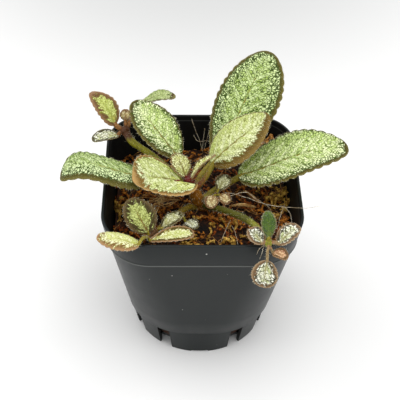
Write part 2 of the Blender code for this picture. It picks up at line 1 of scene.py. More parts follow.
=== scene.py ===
"""The looks of a flame violet in its nursery pot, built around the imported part: metres, +Z up.

Leaves, stems, moss and pot are finer pieces with the form of the solids that they replace. They add the
blistered silvery skin, veins, scalloped margins, hairs, fibres and rootlets of the living plant.
"""
import math
import random
from contextlib import contextmanager
from dataclasses import dataclass, replace

import bmesh
import bpy
import numpy as np
from mathutils import Matrix, Vector, noise


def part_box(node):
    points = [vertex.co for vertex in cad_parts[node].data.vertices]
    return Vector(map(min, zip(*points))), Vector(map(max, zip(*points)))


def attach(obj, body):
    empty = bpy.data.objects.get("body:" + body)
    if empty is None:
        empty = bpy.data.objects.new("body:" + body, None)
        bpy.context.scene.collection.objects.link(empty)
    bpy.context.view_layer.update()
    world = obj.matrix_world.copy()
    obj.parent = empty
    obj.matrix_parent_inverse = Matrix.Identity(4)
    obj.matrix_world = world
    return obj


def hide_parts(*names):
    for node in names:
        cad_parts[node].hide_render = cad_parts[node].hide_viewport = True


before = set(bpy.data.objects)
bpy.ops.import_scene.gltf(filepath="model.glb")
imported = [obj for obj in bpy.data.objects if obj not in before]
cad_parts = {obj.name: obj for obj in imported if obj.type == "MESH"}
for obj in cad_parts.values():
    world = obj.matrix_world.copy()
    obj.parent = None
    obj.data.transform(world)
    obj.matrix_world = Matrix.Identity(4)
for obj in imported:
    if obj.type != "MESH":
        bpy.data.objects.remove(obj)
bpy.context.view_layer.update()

MM = 0.001

# A length in metres that counts as none
TINY = 0.001 * MM

# Camera: places in mm and angles in degrees
EYE = (-9.6, -281.5, 332.0)
ELEVATION = 43.85
YAW = -1.86
ROLL = 1.38
LENS = 88.16
SENSOR = 36

# What the lights point at, in metres
AIM = (0, 0, 0.05)

# Pot, in mm and degrees: a round foot that lofts into a square collar
_, POT_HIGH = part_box("pot")
POT_HALF = POT_HIGH.x / MM
POT_TOP = POT_HIGH.z / MM
POT_CORNER = 17
WALL = 1.2
RIM_ROUND = 0.35
COLLAR_HEIGHT = 12.4
COLLAR_FOOT = POT_TOP - COLLAR_HEIGHT
COLLAR_TAPER = 1.5
COLLAR_STEP = 0.5
BEAD = 0.2
# How far under the rim the inside's painted highlight line lies
LIP_HIGHLIGHT_DROP = 2.2
FOOT_RADIUS = 28.2
FOOT_TOP = 14.2
FOOT_SIDE_HALF = 29.2
FOOT_CORNER = 24
FOOT_STEP = 0.95
FLOOR_UNDERSIDE = 3.5
FLOOR_TOP = 4.7
PAD_RADIUS = 7
SLOT_SIZE = (5.5, 8, 15.1)
SLOT_OFF_AXIS = 30
NOTCH_SIZE = (7, 4, 1.6)
CUT_ROUND = 0.35
POT_POINTS = 176
SHARP_FROM = 32
FLECK_DROP = 4.5
FLECK = (1.2, COLLAR_TAPER * FLECK_DROP / COLLAR_HEIGHT - POT_HALF, POT_TOP - FLECK_DROP)
BODY_RINGS = 6

# Growing medium, its moss and fibres, in mm; tufts, curls and hollow by x and y
MEDIUM_LEVEL = 61
MEDIUM_EDGE = 57
MEDIUM_FALL = 2.2
MEDIUM_LEAN = 0.8
MOUND_RISE = 1.2
MOUND_REACH = 18
RELIEF = 1.5
CLUMP = 7
RIDGE = 5
MEDIUM_REACH = 34.5
MEDIUM_CORNER = 15
CLOD = 1.6
CLOD_RISE = 2.6
CLOD_FADE = 4
WALL_CLEARANCE = 0.5
FIBRE_STEP = 1.2
SCALE_LEAF = (0.7, 1.7)
TUFTS = ((31, -5), (12.5, -10), (32, 0), (-30, -3), (3.6, -12), (30.5, 4.5), (8.7, -20.5), (-6, -26))
TUFT_REACH = 2.6
CURLS = (27.8, 30.3)
CURL_REACH = 1.2
# The hollow in front of the crown: strands keep off it, and the bed is painted near black there as shade.
HOLLOW = (0.7, -17)
HOLLOW_REACH = 2.3

# A face of the medium counts as its top where its normal's z is over this
TOP_TILT = 0.2

# How far a strand turns where it meets the pot's wall
TURN_BACK = 0.8 * math.pi

# Crown stem and the lumps of the shoots' crowns, in mm
STEM_POINTS = ((0, -4, 47), (0, -4.2, 60), (-1, -5.4, 66), (-3.4, -6.6, 73), (-5.6, -7.5, 79.6))
STEM_RADII = (2.6, 2.6, 2.5, 2.2, 1.7)
STEM_TIP = STEM_POINTS[-1]
LUMP = 1.1
LUMP_RISE = 0.7

# Leaves and hairs, in mm; margin hairs per mm of each side, face hairs per square mm
BLADE_END = 0.4
BLADE_THICKNESS = 0.5
GRID = 0.27
END_CROWD = 0.1
BLISTER = 0.76
BLISTER_STRETCH = 1.6
PUCKER = 1.8
PUCKER_RISE = 0.18
VEIN_SPACING = 5.2
VEIN_SUNK = 0.2
RIB_SUNK = 0.4
PILLOW = 0.16
EDGE_DROP = 0.25
RIB_STEPS = 12
ROOT_SUNK = 0.8
HAIR_RADIUS = 0.035
FACE_HAIR_RADIUS = 0.028
MARGIN_HAIRS = 2.6
FACE_HAIRS = 0.75


def linear(colour):
    """A colour as a screen shows it, 0 to 255, made linear."""
    return tuple(((c / 255 + 0.055) / 1.055) ** 2.4 if c > 10 else c / 255 / 12.92 for c in colour)


@dataclass
class Finish:
    """The look of one kind of leaf: colours as a screen shows them, 0 to 255, and widths in mm.

    The margin has the margin colour inside and the under colour, that of the leaf's back, at its edge.
    Mesh says how much of the net's colour shows away from the margin.
    """

    name: str
    slot: str
    net: tuple
    skin: tuple
    silver: tuple
    foot: tuple
    margin: tuple
    rib: tuple
    under: tuple
    margin_width: float
    shade_width: float
    jag: float
    net_depth: float
    blister: float = 1.0
    mesh: float = 0.85
    roughness: float = 0.6
    shine: float = 0.2

    def made_linear(self):
        """The same finish with its colours linear."""
        colours = {name: linear(value) for name, value in vars(self).items() if isinstance(value, tuple)}
        return replace(self, **colours)


# SILVER's foot colour, which DENSE shares, is partly painted light: lighter where light falls on the lower
# part of the leaf.
SILVER = Finish("silver_leaf", "leaf_silver_green", net=(50, 70, 2), skin=(154, 178, 86),
                silver=(220, 237, 172), foot=(186, 208, 126), margin=(84, 80, 18), rib=(150, 172, 88),
                under=(110, 102, 46), margin_width=1.1, shade_width=3.6, jag=0.6, net_depth=1.1, mesh=0.95)
PALE = Finish("pale_leaf", "leaf_pale_green", net=(100, 104, 30), skin=(189, 200, 120),
              silver=(232, 237, 190), foot=(184, 196, 100), margin=(108, 86, 28), rib=(104, 98, 34),
              under=(130, 106, 50), margin_width=1.4, shade_width=0.9, jag=1.2, net_depth=0.6)
FOLDED = replace(PALE, name="folded_leaf", margin=(134, 102, 42), under=(186, 150, 92), jag=1.6,
                 foot=(204, 212, 110))
BRIGHT = Finish("bright_leaf", "leaf_silver_green", net=(60, 80, 6), skin=(184, 207, 116),
                silver=(241, 249, 197), foot=(158, 178, 76), margin=(78, 72, 16), rib=(84, 92, 24),
                under=(108, 100, 44), margin_width=1.0, shade_width=3.0, jag=0.8, net_depth=1.0, mesh=0.8)
DENSE = replace(SILVER, name="dense_leaf", skin=(158, 181, 98), silver=(220, 236, 178), net_depth=0.95,
                mesh=0.84, shade_width=2.4)
GREEN = Finish("green_leaf", "leaf_pale_green", net=(74, 90, 26), skin=(160, 178, 104),
               silver=(204, 214, 156), foot=(150, 162, 74), margin=(84, 66, 34), rib=(116, 122, 52),
               under=(132, 124, 76), margin_width=0.7, shade_width=1.0, jag=0.6, net_depth=0.8)
CREAM = Finish("cream_leaf", "leaf_pale_green", net=(146, 132, 46), skin=(212, 218, 136),
               silver=(240, 242, 196), foot=(178, 192, 76), margin=(136, 104, 50), rib=(176, 176, 92),
               under=(172, 134, 92), margin_width=1.4, shade_width=1.1, jag=2.2, net_depth=0.6)
LINED = replace(CREAM, name="lined_leaf", skin=(190, 202, 106), margin=(92, 78, 18), under=(172, 132, 94),
                jag=1.4)
YOUNG = Finish("young_leaf", "leaf_pale_green", net=(92, 82, 22), skin=(196, 200, 114),
               silver=(232, 234, 180), foot=(172, 176, 78), margin=(124, 98, 48), rib=(112, 96, 34),
               under=(146, 120, 76), margin_width=0.7, shade_width=1.4, jag=0.9, net_depth=0.9)
OLIVE = Finish("olive_leaf", "leaf_silver_green", net=(88, 82, 34), skin=(184, 184, 118),
               silver=(236, 238, 200), foot=(150, 146, 74), margin=(78, 70, 32), rib=(150, 146, 86),
               under=(122, 106, 68), margin_width=1.0, shade_width=0.9, jag=2.0, net_depth=0.9, blister=1.2,
               mesh=0.72)
SPOTTED = Finish("spotted_leaf", "leaf_silver_green", net=(52, 46, 20), skin=(180, 188, 124),
                 silver=(252, 252, 234), foot=(178, 186, 106), margin=(126, 98, 66), rib=(158, 150, 96),
                 under=(162, 136, 104), margin_width=1.1, shade_width=1.4, jag=1.4, net_depth=1.0,
                 blister=1.35)
CURLED = replace(SPOTTED, name="curled_leaf", margin=(72, 68, 28), under=(112, 102, 62), jag=1.2)
EDGED = Finish("edged_leaf", "leaf_brown_green", net=(84, 84, 18), skin=(160, 168, 86),
               silver=(206, 216, 136), foot=(108, 84, 34), margin=(66, 54, 16), rib=(110, 76, 34),
               under=(98, 80, 46), margin_width=2.3, shade_width=0.8, jag=2.6, net_depth=0.9)
RUST = Finish("rust_edged_leaf", "leaf_brown_green", net=(124, 120, 34), skin=(190, 202, 104),
              silver=(222, 232, 144), foot=(192, 176, 84), margin=(124, 92, 52), rib=(170, 182, 80),
              under=(154, 118, 84), margin_width=2.0, shade_width=0.9, jag=2.0, net_depth=0.8)
BUD = Finish("bud_leaf", "leaf_brown_green", net=(122, 90, 48), skin=(196, 176, 114), silver=(234, 222, 172),
             foot=(104, 60, 34), margin=(122, 88, 52), rib=(150, 110, 66), under=(140, 104, 68),
             margin_width=0.8, shade_width=0.8, jag=1.2, net_depth=1.0, blister=1.3)
ROSY = replace(BUD, name="rosy_leaf", net=(146, 84, 52), skin=(198, 154, 112), silver=(232, 200, 158),
               foot=(158, 78, 48), margin=(108, 84, 52), margin_width=1.2)
GLOSSY = Finish("glossy_leaf", "leaf_silver_green", net=(32, 52, 2), skin=(50, 80, 3), silver=(84, 114, 14),
                foot=(122, 122, 20), margin=(96, 96, 48), rib=(88, 108, 24), under=(122, 122, 74),
                margin_width=0.4, shade_width=0.8, jag=0.4, net_depth=0.5, roughness=0.25, shine=0.5)


@dataclass
class Leaf:
    """One leaf: places in mm, angles in degrees, the rest in mm or as a share of length or width.

    The blade runs from base along heading (0 is +X, 90 is +Y) and pitch. Its stalk starts in its stem
    beside root, leaves along out, and passes the via points. The root radius is its stem's there, and a
    root that is a shoot's crown takes the crown's. The lobe and skew say how far its left edge is set
    back beside the base and at mid length; the margins say how much wider than its finish's the brown
    margin is on its left, on its right and at its tip.
    """

    name: str
    finish: Finish
    base: tuple
    heading: float
    pitch: float
    length: float
    width: float
    root: tuple
    out: tuple
    via: tuple = ()
    root_radius: float = 2.2
    roll: float = 0
    widest: float = 0.5
    blunt: float = 0.5
    arch: float = 0.06
    arch_at: float = 0.5
    cup: float = 0.2
    fold: float = 0
    sweep: float = 0
    lobe: float = 0
    skew: float = 0
    wave: float = 0
    teeth: int = 12
    tooth: float = 0.5
    stalk: float = 1.0
    margins: tuple = (1, 1, 1)


@dataclass
class Shoot:
    """A runner or side shoot that ends in a small crown: places and radii in mm.

    It has the near colour at its crown, and the far colour from about reach away.
    """

    name: str
    root: tuple
    out: tuple
    points: tuple
    radii: tuple
    crown: float
    near: tuple
    far: tuple
    reach: float
    root_radius: float = 2.7


SHOOTS = (
    # Its far colour, dark olive along the part nearer the crown stem, is partly painted shade.
    Shoot("runner_right", (-0.2, -4.9, 65), (0.7, -0.7, 0.1),
          ((4.7, -10.4, 67.3), (8.3, -15.5, 71), (12.5, -21, 74), (16, -25.2, 75.8), (19.6, -30.6, 77),
           (23.2, -39, 77.6)), (1.4, 1.3, 1.3, 1), 1.6, (140, 140, 36), (84, 84, 3), 16),
    Shoot("runner_back_left", (-2, -5.9, 69), (-0.7, 0.7, 0.1),
          ((-9.3, -0.4, 73.2), (-13.5, 4.8, 74.2), (-17.1, 8.8, 75), (-22.6, 13.4, 76), (-27.6, 17, 77.4),
           (-30.5, 21.3, 79.4)), (1.2, 1.3, 1.3, 1.5), 2.2, (84, 44, 8), (154, 150, 26), 7),
    Shoot("runner_front_left", (-0.7, -4.9, 64), (-0.8, -0.6, 0.1),
          ((-4.8, -8.6, 66), (-8.6, -13.4, 67.7), (-14.2, -21, 69), (-20.4, -29.3, 70.5)),
          (1.3, 1.2, 1.1, 0.9), 1.5, (112, 74, 38), (134, 112, 22), 8),
    Shoot("side_shoot", (-1.6, -5.8, 68.2), (1, -0.4, 0.1), ((3.9, -6.9, 69.6), (5.6, -6.2, 70.4)),
          (0.8, 0.8, 0.8), 1.1, (96, 58, 36), (112, 90, 34), 3, root_radius=2.4),
)

RIGHT_CROWN, BACK_LEFT_CROWN, FRONT_LEFT_CROWN, SIDE_CROWN = (shoot.points[-1] for shoot in SHOOTS)
CROWN_RADII = {shoot.points[-1]: shoot.crown for shoot in SHOOTS}

LEAVES = (
    Leaf("leaf_tall_back", SILVER, (5.6, 6.6, 78.4), 58, 33, 48, 27.6, (-3, -6.4, 71.5), (0.3, 1, 0.2),
         via=((-0.2, 0.6, 74.2),), roll=-6, widest=0.54, blunt=0.55, arch=0.09, arch_at=0.58, cup=-0.16,
         sweep=-0.047, teeth=15, tooth=0.6, stalk=1.2, margins=(1.8, 1.6, 1.4)),
    Leaf("leaf_pale_back", PALE, (3.8, 0.1, 80.5), 21, 38, 29, 18, (-3.8, -6.8, 74.2), (1, 0.35, 0.3),
         via=((1.4, -3.6, 77),), roll=14, widest=0.46, blunt=0.6, arch=0.11, arch_at=0.4, cup=-0.05,
         sweep=-0.035, teeth=10, margins=(0.3, 2.5, 0.7)),
    Leaf("leaf_right", BRIGHT, (14.2, 1, 74), 1, 18, 43.8, 24.5, (-1.4, -5.7, 67), (1, 0.5, 0.1),
         via=((5.2, -2, 68.8),), root_radius=2.7, roll=5, widest=0.47, blunt=0.48, arch=0.1, arch_at=0.64,
         cup=0.1, sweep=-0.02, teeth=13, tooth=0.9, stalk=1.2, margins=(0.5, 1.8, 1.4)),
    Leaf("leaf_back_left", BRIGHT, (-8.8, 4.8, 80), 135, 28, 28.6, 17.6, (-4.2, -6.9, 75.5), (-0.3, 1, 0.3),
         via=((-6.2, 0.8, 78),), root_radius=2, blunt=0.55, sweep=0.04, teeth=10, margins=(1.9, 0.6, 1.2)),
    Leaf("leaf_left", DENSE, (-17, -4.6, 78.2), 178, -2, 37.5, 16, (-3.5, -6.7, 73), (-1, 0.3, 0),
         via=((-11, -5.2, 75.4),), root_radius=2.4, roll=-8, widest=0.56, blunt=0.4, arch=0.22, arch_at=0.72,
         cup=-0.2, skew=4, wave=0.6, tooth=0.7, margins=(2.3, 0.6, 1)),
    Leaf("leaf_folded", FOLDED, (-8.6, -9.4, 80.5), 179, 6, 18, 18.8, (-4.8, -7.1, 77), (-0.5, -1, 0.2),
         root_radius=2.4, roll=-9, arch=0.03, cup=-0.06, fold=0.21, sweep=-0.02, lobe=7, skew=4.6, teeth=9,
         margins=(1.2, 0.8, 2.8)),
    Leaf("leaf_young_back", YOUNG, (-6.5, -7.7, 81.2), 120, 35, 9.8, 9.6, (-6, -7.3, 79.3), (-0.1, 0, 1),
         root_radius=0.1, roll=16, blunt=0.6, arch=0.1, cup=0, teeth=5, tooth=0.7, stalk=0.55),
    Leaf("leaf_young_right", YOUNG, (-4.4, -8.6, 80.9), 32, 33, 13, 5, (-4.8, -7.9, 79.6), (0.2, -0.2, 1),
         root_radius=0.4, roll=-25, blunt=0.6, cup=0, fold=0.6, teeth=6, tooth=0.4, stalk=0.55,
         margins=(0.6, 2, 1)),
    Leaf("side_leaf_back", OLIVE, (6.2, -5.6, 72.5), 45, 27, 7, 6.8, SIDE_CROWN, (0.3, 0.3, 1), blunt=0.6,
         teeth=5, tooth=0.3, stalk=0.5),
    Leaf("side_leaf_front", BUD, (4.5, -7.8, 71.4), 252, -22, 5.6, 5.6, SIDE_CROWN, (-0.5, -1, 0.5), teeth=5,
         tooth=0.3, stalk=0.5),
    Leaf("side_leaf_right", BUD, (7, -7.3, 71.2), -42, -14, 5, 4.8, SIDE_CROWN, (1, -0.8, 0.4), roll=16,
         teeth=4, tooth=0.3, stalk=0.5),
    Leaf("right_leaf_upright", GLOSSY, (23.2, -38.9, 80.1), 98, 58, 9.9, 5.6, RIGHT_CROWN, (0.1, 0, 1),
         widest=0.56, blunt=0.55, cup=0.45, teeth=4, tooth=0.2, stalk=0.65),
    Leaf("right_leaf_left", SPOTTED, (20.8, -39.8, 78.1), 122, 14, 7.5, 6.8, RIGHT_CROWN, (-1, -0.1, 0.3),
         roll=-8, teeth=5, tooth=0.35, stalk=0.6),
    Leaf("right_leaf_right", SPOTTED, (26.8, -39.7, 77.9), 40, 18, 10.2, 7.6, RIGHT_CROWN, (1, 0, 0.2),
         blunt=0.45, teeth=6, tooth=0.4, stalk=0.7),
    Leaf("right_leaf_bud", ROSY, (24.8, -41.4, 75.2), -25, -4, 5.8, 5.6, RIGHT_CROWN, (0.5, -1, -0.7),
         cup=0.4, teeth=4, tooth=0.3, stalk=0.5),
    Leaf("right_leaf_hanging", SPOTTED, (22.9, -42.8, 72.2), 254, -65, 10.6, 10, RIGHT_CROWN, (0, -1, -0.1),
         via=((22.8, -42.2, 76.1),), cup=0.15, teeth=8, tooth=0.4, stalk=0.5, margins=(1.3, 1.4, 1.4)),
    Leaf("back_left_leaf_up", RUST, (-34.5, 22.5, 81.6), 141, 39, 16, 9.4, BACK_LEFT_CROWN, (-1, 0.3, 0.4),
         roll=-18, widest=0.44, blunt=0.62, cup=0.12, sweep=-0.08, teeth=8, tooth=0.4, margins=(1.2, 0.8, 2)),
    Leaf("back_left_leaf_bud", BUD, (-30.4, 24.9, 81.9), 84, 56, 4.4, 4.6, BACK_LEFT_CROWN, (0.1, 0.8, 0.9),
         cup=0.5, teeth=4, tooth=0.2, stalk=0.7, margins=(0.5, 0.5, 1.4)),
    Leaf("back_left_leaf_curled", CURLED, (-33.1, 19.7, 78.7), 193, -3, 10.7, 8.6, BACK_LEFT_CROWN,
         (-1, -0.4, -0.2), roll=8, blunt=0.42, arch=0.05, teeth=5, tooth=0.2, stalk=0.8,
         margins=(0.7, 0.9, 0.7)),
    Leaf("back_left_leaf_right", GREEN, (-25.6, 31.6, 84.2), -12, 24, 17, 8, BACK_LEFT_CROWN,
         (0.6, 0.8, 0.5), via=((-28.2, 27.4, 82),), arch=0.14, arch_at=0.6, cup=0.1, teeth=8, stalk=0.8,
         margins=(0.3, 0.7, 2.5)),
    Leaf("front_left_leaf_back", EDGED, (-20.1, -29.4, 73), 124, 30, 14.6, 12.8, FRONT_LEFT_CROWN,
         (0, 0.2, 1), widest=0.44, blunt=0.55, sweep=0.03, teeth=9, stalk=0.7, margins=(1.2, 1.1, 1.2)),
    Leaf("front_left_leaf_rim", CREAM, (-23.2, -39.8, 77.2), 167, 5, 15.5, 10, FRONT_LEFT_CROWN,
         (-0.2, -0.9, 0.8), via=((-22, -36.6, 77.4),), roll=8, blunt=0.46, cup=-0.16, fold=-0.1, teeth=8,
         stalk=0.6, margins=(1.6, 0.3, 1.4)),
    Leaf("front_left_leaf_right", LINED, (-19.8, -31.9, 71.4), 10, 4, 16.8, 8, FRONT_LEFT_CROWN,
         (0.4, -1, 0.2), widest=0.62, cup=0.12, teeth=8, stalk=0.6, margins=(1.2, 1, 1)),
    Leaf("front_left_leaf_silver", OLIVE, (-15.2, -25, 71), 41, 8, 10.4, 6.8, (-17.2, -25, 69.8),
         (0.8, 0, 0.6), root_radius=1.2, roll=-8, blunt=0.6, cup=0.15, teeth=6, tooth=0.4, stalk=0.6,
         margins=(0.8, 1, 1.9)),
    Leaf("front_left_leaf_small", CURLED, (-6.4, -18.4, 67.9), -40, 4, 6, 5.2, (-8.6, -13.4, 67.7),
         (0.6, -0.8, 0.1), root_radius=1.2, blunt=0.6, teeth=4, tooth=0.3, stalk=0.5,
         margins=(0.5, 0.5, 0.5)),
)

# Rootlets that show one by one, in mm
ROOTLETS = (
    ((6, -7, 69), (10, -7.1, 72), (16.4, -10.4, 73), (25.4, -17.4, 75.5), (37.4, -20.5, 77),
     (44, -19.9, 77.5)),
    ((9, -7.6, 70), (16.4, -8.7, 74), (20.3, -9.9, 72), (26.2, -11.1, 68), (27, -12, 63)),
    ((-3.6, 36, 73.6), (-1.7, 34.3, 68.3), (0, 32.3, 64.5), (1.2, 29.5, 61)),
    ((3.7, 34, 68.2), (2.9, 33, 65.2), (1.7, 31, 61)),
    ((-2.6, 34, 66.5), (-0.9, 33, 64.1), (3.8, 32.6, 64.4), (4.6, 31, 61)),
    ((2, 35, 69.5), (1.5, 33.8, 65.5), (0.8, 31, 61)),
    ((11.2, -13.3, 63.5), (9.1, -20.3, 65.5), (7.4, -24.6, 64), (6.8, -26, 61)),
    ((11.4, -17, 64), (12.4, -22.3, 66), (13.4, -26.7, 63.5), (13.6, -28, 61)),
    ((30.6, -8.7, 67), (32.3, -12.9, 69.5), (33.9, -16.8, 69), (34, -21.6, 66), (33.4, -23.4, 61)),
    ((32.7, -5.9, 65), (30.9, -12.5, 67.5), (29, -19.5, 68), (28.6, -21.4, 62)),
    ((-14.4, -3.2, 62), (-17.1, -6, 66), (-20.2, -8.3, 65), (-22, -9.5, 61)),
    ((-15.5, -4.9, 62), (-18.2, -8.8, 66.5), (-21.3, -9.5, 64), (-23.5, -10.5, 61)),
    ((22, -38.8, 77.2), (21.2, -40.5, 75.4), (20.9, -40.2, 72.4), (20.4, -40, 70)),
    ((22.4, -38.6, 77), (19.8, -40.6, 75.8), (19.2, -40.3, 73)),
)

# Long tan fibres on the left, in mm: the places that they pass near
FAN = ((-9, -5.4, 67), (-15, -8, 68), (-21.5, -9, 65.5))
FAN_COUNT = 13
FAN_SPREAD = (0.7, 1.3, 3)

# Thicker dry stems right of the side shoot, in mm
STRAWS = (
    ((11, -4.7, 62.5), (15.1, -5.4, 64), (18.8, -6.1, 64.2), (21.5, -5.4, 62.5)),
    ((17.2, 5.4, 61.5), (19.2, 0.7, 64), (21.1, -2.4, 64.5), (24.7, -4.6, 62.5)),
)
STRAW_RADIUS = 0.75


def only(piece):
    """Makes this piece the whole selection."""
    bpy.ops.object.select_all(action="DESELECT")
    piece.select_set(True)
    bpy.context.view_layer.objects.active = piece


@contextmanager
def edit_mode(piece):
    """Edits this piece alone, with all of it selected at first."""
    only(piece)
    bpy.ops.object.mode_set(mode="EDIT")
    bpy.ops.mesh.select_all(action="SELECT")
    yield
    bpy.ops.object.mode_set(mode="OBJECT")


def joined(pieces):
    """The first of the pieces, with the others joined into it."""
    only(pieces[0])
    for piece in pieces[1:]:
        piece.select_set(True)
    bpy.ops.object.join()
    return pieces[0]


def apply_modifier(piece, kind, **settings):
    """Adds a modifier with these settings and applies it."""
    only(piece)
    modifier = piece.modifiers.new(kind.title(), kind)
    for name, value in settings.items():
        setattr(modifier, name, value)
    bpy.ops.object.modifier_apply(modifier=modifier.name)


def clouds(name, size, depth=2):
    """A cloudy texture with lumps this many mm across, for a displace modifier."""
    texture = bpy.data.textures.new(name, "CLOUDS")
    texture.noise_scale = size * MM
    texture.noise_depth = depth
    return texture


def dress(piece, *skins):
    for skin in skins:
        piece.data.materials.append(skin)


def into_triangles(piece):
    """Merges points that lie on each other, and splits all faces into triangles, so that none folds back."""
    with edit_mode(piece):
        bpy.ops.mesh.remove_doubles(threshold=TINY)
        bpy.ops.mesh.quads_convert_to_tris()


def finished(piece, name, slot, *nodes):
    """Names the piece, ties it to the part's one body and hides the nodes it stands for. The slot is not
    used.
    """
    piece.name = name
    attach(piece, "root")
    if nodes:
        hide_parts(*nodes)
    return piece


def points_of(piece):
    """The piece's points as rows of three numbers."""
    places = np.empty(len(piece.data.vertices) * 3)
    piece.data.vertices.foreach_get("co", places)
    return places.reshape(-1, 3)


def set_points(piece, places):
    piece.data.vertices.foreach_set("co", np.asarray(places, float).ravel())
    piece.data.update()


def set_field(piece, name, values):
    """Keeps a number or a vector for each point of the piece, for its material to read."""
    vectors = np.ndim(values) > 1
    field = piece.data.attributes.new(name, "FLOAT_VECTOR" if vectors else "FLOAT", "POINT")
    field.data.foreach_set("vector" if vectors else "value", np.asarray(values, np.float32).ravel())


def smooth_path(points, steps):
    """Points along a Catmull-Rom curve through the given ones."""
    points = [Vector(point) for point in points]
    ends = [2 * points[0] - points[1], *points, 2 * points[-1] - points[-2]]
    path = []
    for before, start, end, after in zip(ends, ends[1:], ends[2:], ends[3:]):
        for step in range(steps):
            t = step / steps
            path.append(0.5 * (2 * start + (end - before) * t
                               + (2 * before - 5 * start + 4 * end - after) * t * t
                               + (3 * start - before - 3 * end + after) * t ** 3))
    return [*path, points[-1]]


def spread(values, count):
    """count values, evenly spaced along the given ones."""
    return list(np.interp(np.linspace(0, len(values) - 1, count), range(len(values)), values))


def add_tubes(name, paths, skin, sides):
    """One mesh of closed tubes. Each path is its places in mm and its radius in mm at each of them."""
    curve = bpy.data.curves.new(name, "CURVE")
    curve.dimensions = "3D"
    curve.bevel_depth = 1
    curve.bevel_resolution = (sides - 4) // 2
    curve.use_fill_caps = True
    for places, radii in paths:
        line = curve.splines.new("POLY")
        line.points.add(len(places) - 1)
        corners = np.ones((len(places), 4))
        corners[:, :3] = np.array([tuple(place) for place in places]) * MM
        line.points.foreach_set("co", corners.ravel())
        line.points.foreach_set("radius", np.array(radii, float) * MM)
    piece = bpy.data.objects.new(name, curve)
    bpy.context.scene.collection.objects.link(piece)
    only(piece)
    bpy.ops.object.convert(target="MESH")
    with edit_mode(piece):
        bpy.ops.mesh.remove_doubles(threshold=TINY)
        bpy.ops.mesh.normals_make_consistent()
    bpy.ops.object.shade_smooth()
    piece.data.materials.append(skin)
    return piece


class Paint:
    """A material's node tree, with a short call for each kind of node."""

    def __init__(self, name, roughness, specular=0.5, sheen=0.0):
        self.material = bpy.data.materials.new(name)
        self.material.use_nodes = True
        self.tree = self.material.node_tree
        self.shader = self.tree.nodes["Principled BSDF"]
        fixed = {"Roughness": roughness, "Specular IOR Level": specular, "Sheen Weight": sheen}
        for socket, value in fixed.items():
            self.shader.inputs[socket].default_value = value
        self.places = self.node("TexCoord").outputs["Object"]

    def node(self, kind, sockets=(), **settings):
        """A new node with these settings, and a plain value or a link for each of these input sockets."""
        made = self.tree.nodes.new("ShaderNode" + kind)
        for name, value in settings.items():
            setattr(made, name, value)
        for socket, value in dict(sockets).items():
            self.feed(made.inputs[socket], value)
        return made

    def feed(self, socket, value):
        """Links a socket to another node's output, or sets it to a plain value."""
        if isinstance(value, bpy.types.NodeSocket):
            self.tree.links.new(value, socket)
        elif isinstance(value, tuple) and len(value) == 3 and len(socket.default_value) == 4:
            socket.default_value = (*value, 1)
        else:
            socket.default_value = value

    def math(self, operation, *values):
        return self.node("Math", enumerate(values), operation=operation).outputs[0]

    def sum(self, *terms):
        """The sum of several (value, factor) terms."""
        total = 0.0
        for value, factor in terms:
            total = self.math("MULTIPLY_ADD", value, factor, total)
        return total

    def step(self, value, low, high):
        """0 where value is below low, 1 above high, smooth between; low may be the larger."""
        ends = enumerate((value, low, high))
        return self.node("MapRange", ends, interpolation_type="SMOOTHSTEP").outputs[0]

    def mix(self, factor, first, second):
        """The first colour where factor is 0 and the second where it is 1."""
        # The node has sockets for every type of data, and its colours are inputs 6 and 7 and output 2.
        return self.node("Mix", {0: factor, 6: first, 7: second}, data_type="RGBA").outputs[2]

    def mottled(self, colour, value, low, high, depth, shade):
        """The colour, with this depth of a darker shade mixed in where the value is low."""
        return self.mix(self.step(value, low, high), self.mix(depth, colour, shade), colour)

    def noise(self, place, scale, detail=2.0):
        return self.node("TexNoise", {"Vector": place, "Scale": scale, "Detail": detail})

    def grain(self, size, detail=2.0, stretch=None):
        """Smooth noise about 0.5, with features this many mm across."""
        place = self.stretched(self.places, stretch) if stretch else self.places
        return self.noise(place, 1 / (size * MM), detail).outputs[0]

    def stretched(self, place, scale):
        return self.node("Mapping", {"Vector": place, "Scale": scale}).outputs[0]

    def cells(self, size):
        """How far a point lies from its cell's middle, in cells this many mm across."""
        return self.node("TexVoronoi", {"Vector": self.places, "Scale": 1 / (size * MM)}).outputs["Distance"]

    def net_place(self):
        """Where the point lies in the leaf's net of blisters, which is a little bent."""
        place = self.node("Attribute", attribute_name="net").outputs["Vector"]
        warp = self.noise(place, 0.45).outputs["Color"]
        terms = enumerate((warp, (1.6, 1.6, 0), place))
        return self.node("VectorMath", terms, operation="MULTIPLY_ADD").outputs[0]

    def net_cells(self, place):
        """For the leaf's blisters: distance from the cell's border, and a chance number for each cell."""
        border, middle = (self.node("TexVoronoi", {"Vector": place, "Scale": 1.0}, feature=feature).outputs
                          for feature in ("DISTANCE_TO_EDGE", "F1"))
        return border["Distance"], self.node("SeparateColor", {0: middle["Color"]}).outputs[0]

    def net_streaks(self, place):
        """Noise about 0.5 drawn out along the side veins."""
        return self.noise(self.stretched(place, (0.16, 0.75, 1)), 1.0).outputs[0]

    def field(self, name):
        return self.node("Attribute", attribute_name=name).outputs["Fac"]

    def from_point(self, place):
        """The distance in mm from a place given in mm."""
        centre = tuple(c * MM for c in place)
        away = self.node("VectorMath", {0: self.places, 1: centre}, operation="DISTANCE")
        return self.math("DIVIDE", away.outputs["Value"], MM)

    def band(self, height, width):
        """1 in a level band at this height, 0 elsewhere: both in mm."""
        level = self.node("SeparateXYZ", {0: self.places}).outputs["Z"]
        away = self.math("ABSOLUTE", self.math("SUBTRACT", level, height * MM))
        return self.step(away, 0.6 * width * MM, 0.4 * width * MM)

    def relief(self, height, depth, strength):
        """Bumps this many mm high where height goes from 0 to 1."""
        bump = self.node("Bump", {"Height": height, "Distance": depth * MM, "Strength": strength})
        self.feed(self.shader.inputs["Normal"], bump.outputs[0])

    def coloured(self, colour, roughness=None):
        self.feed(self.shader.inputs["Base Color"], colour)
        if roughness is not None:
            self.feed(self.shader.inputs["Roughness"], roughness)
        return self.material


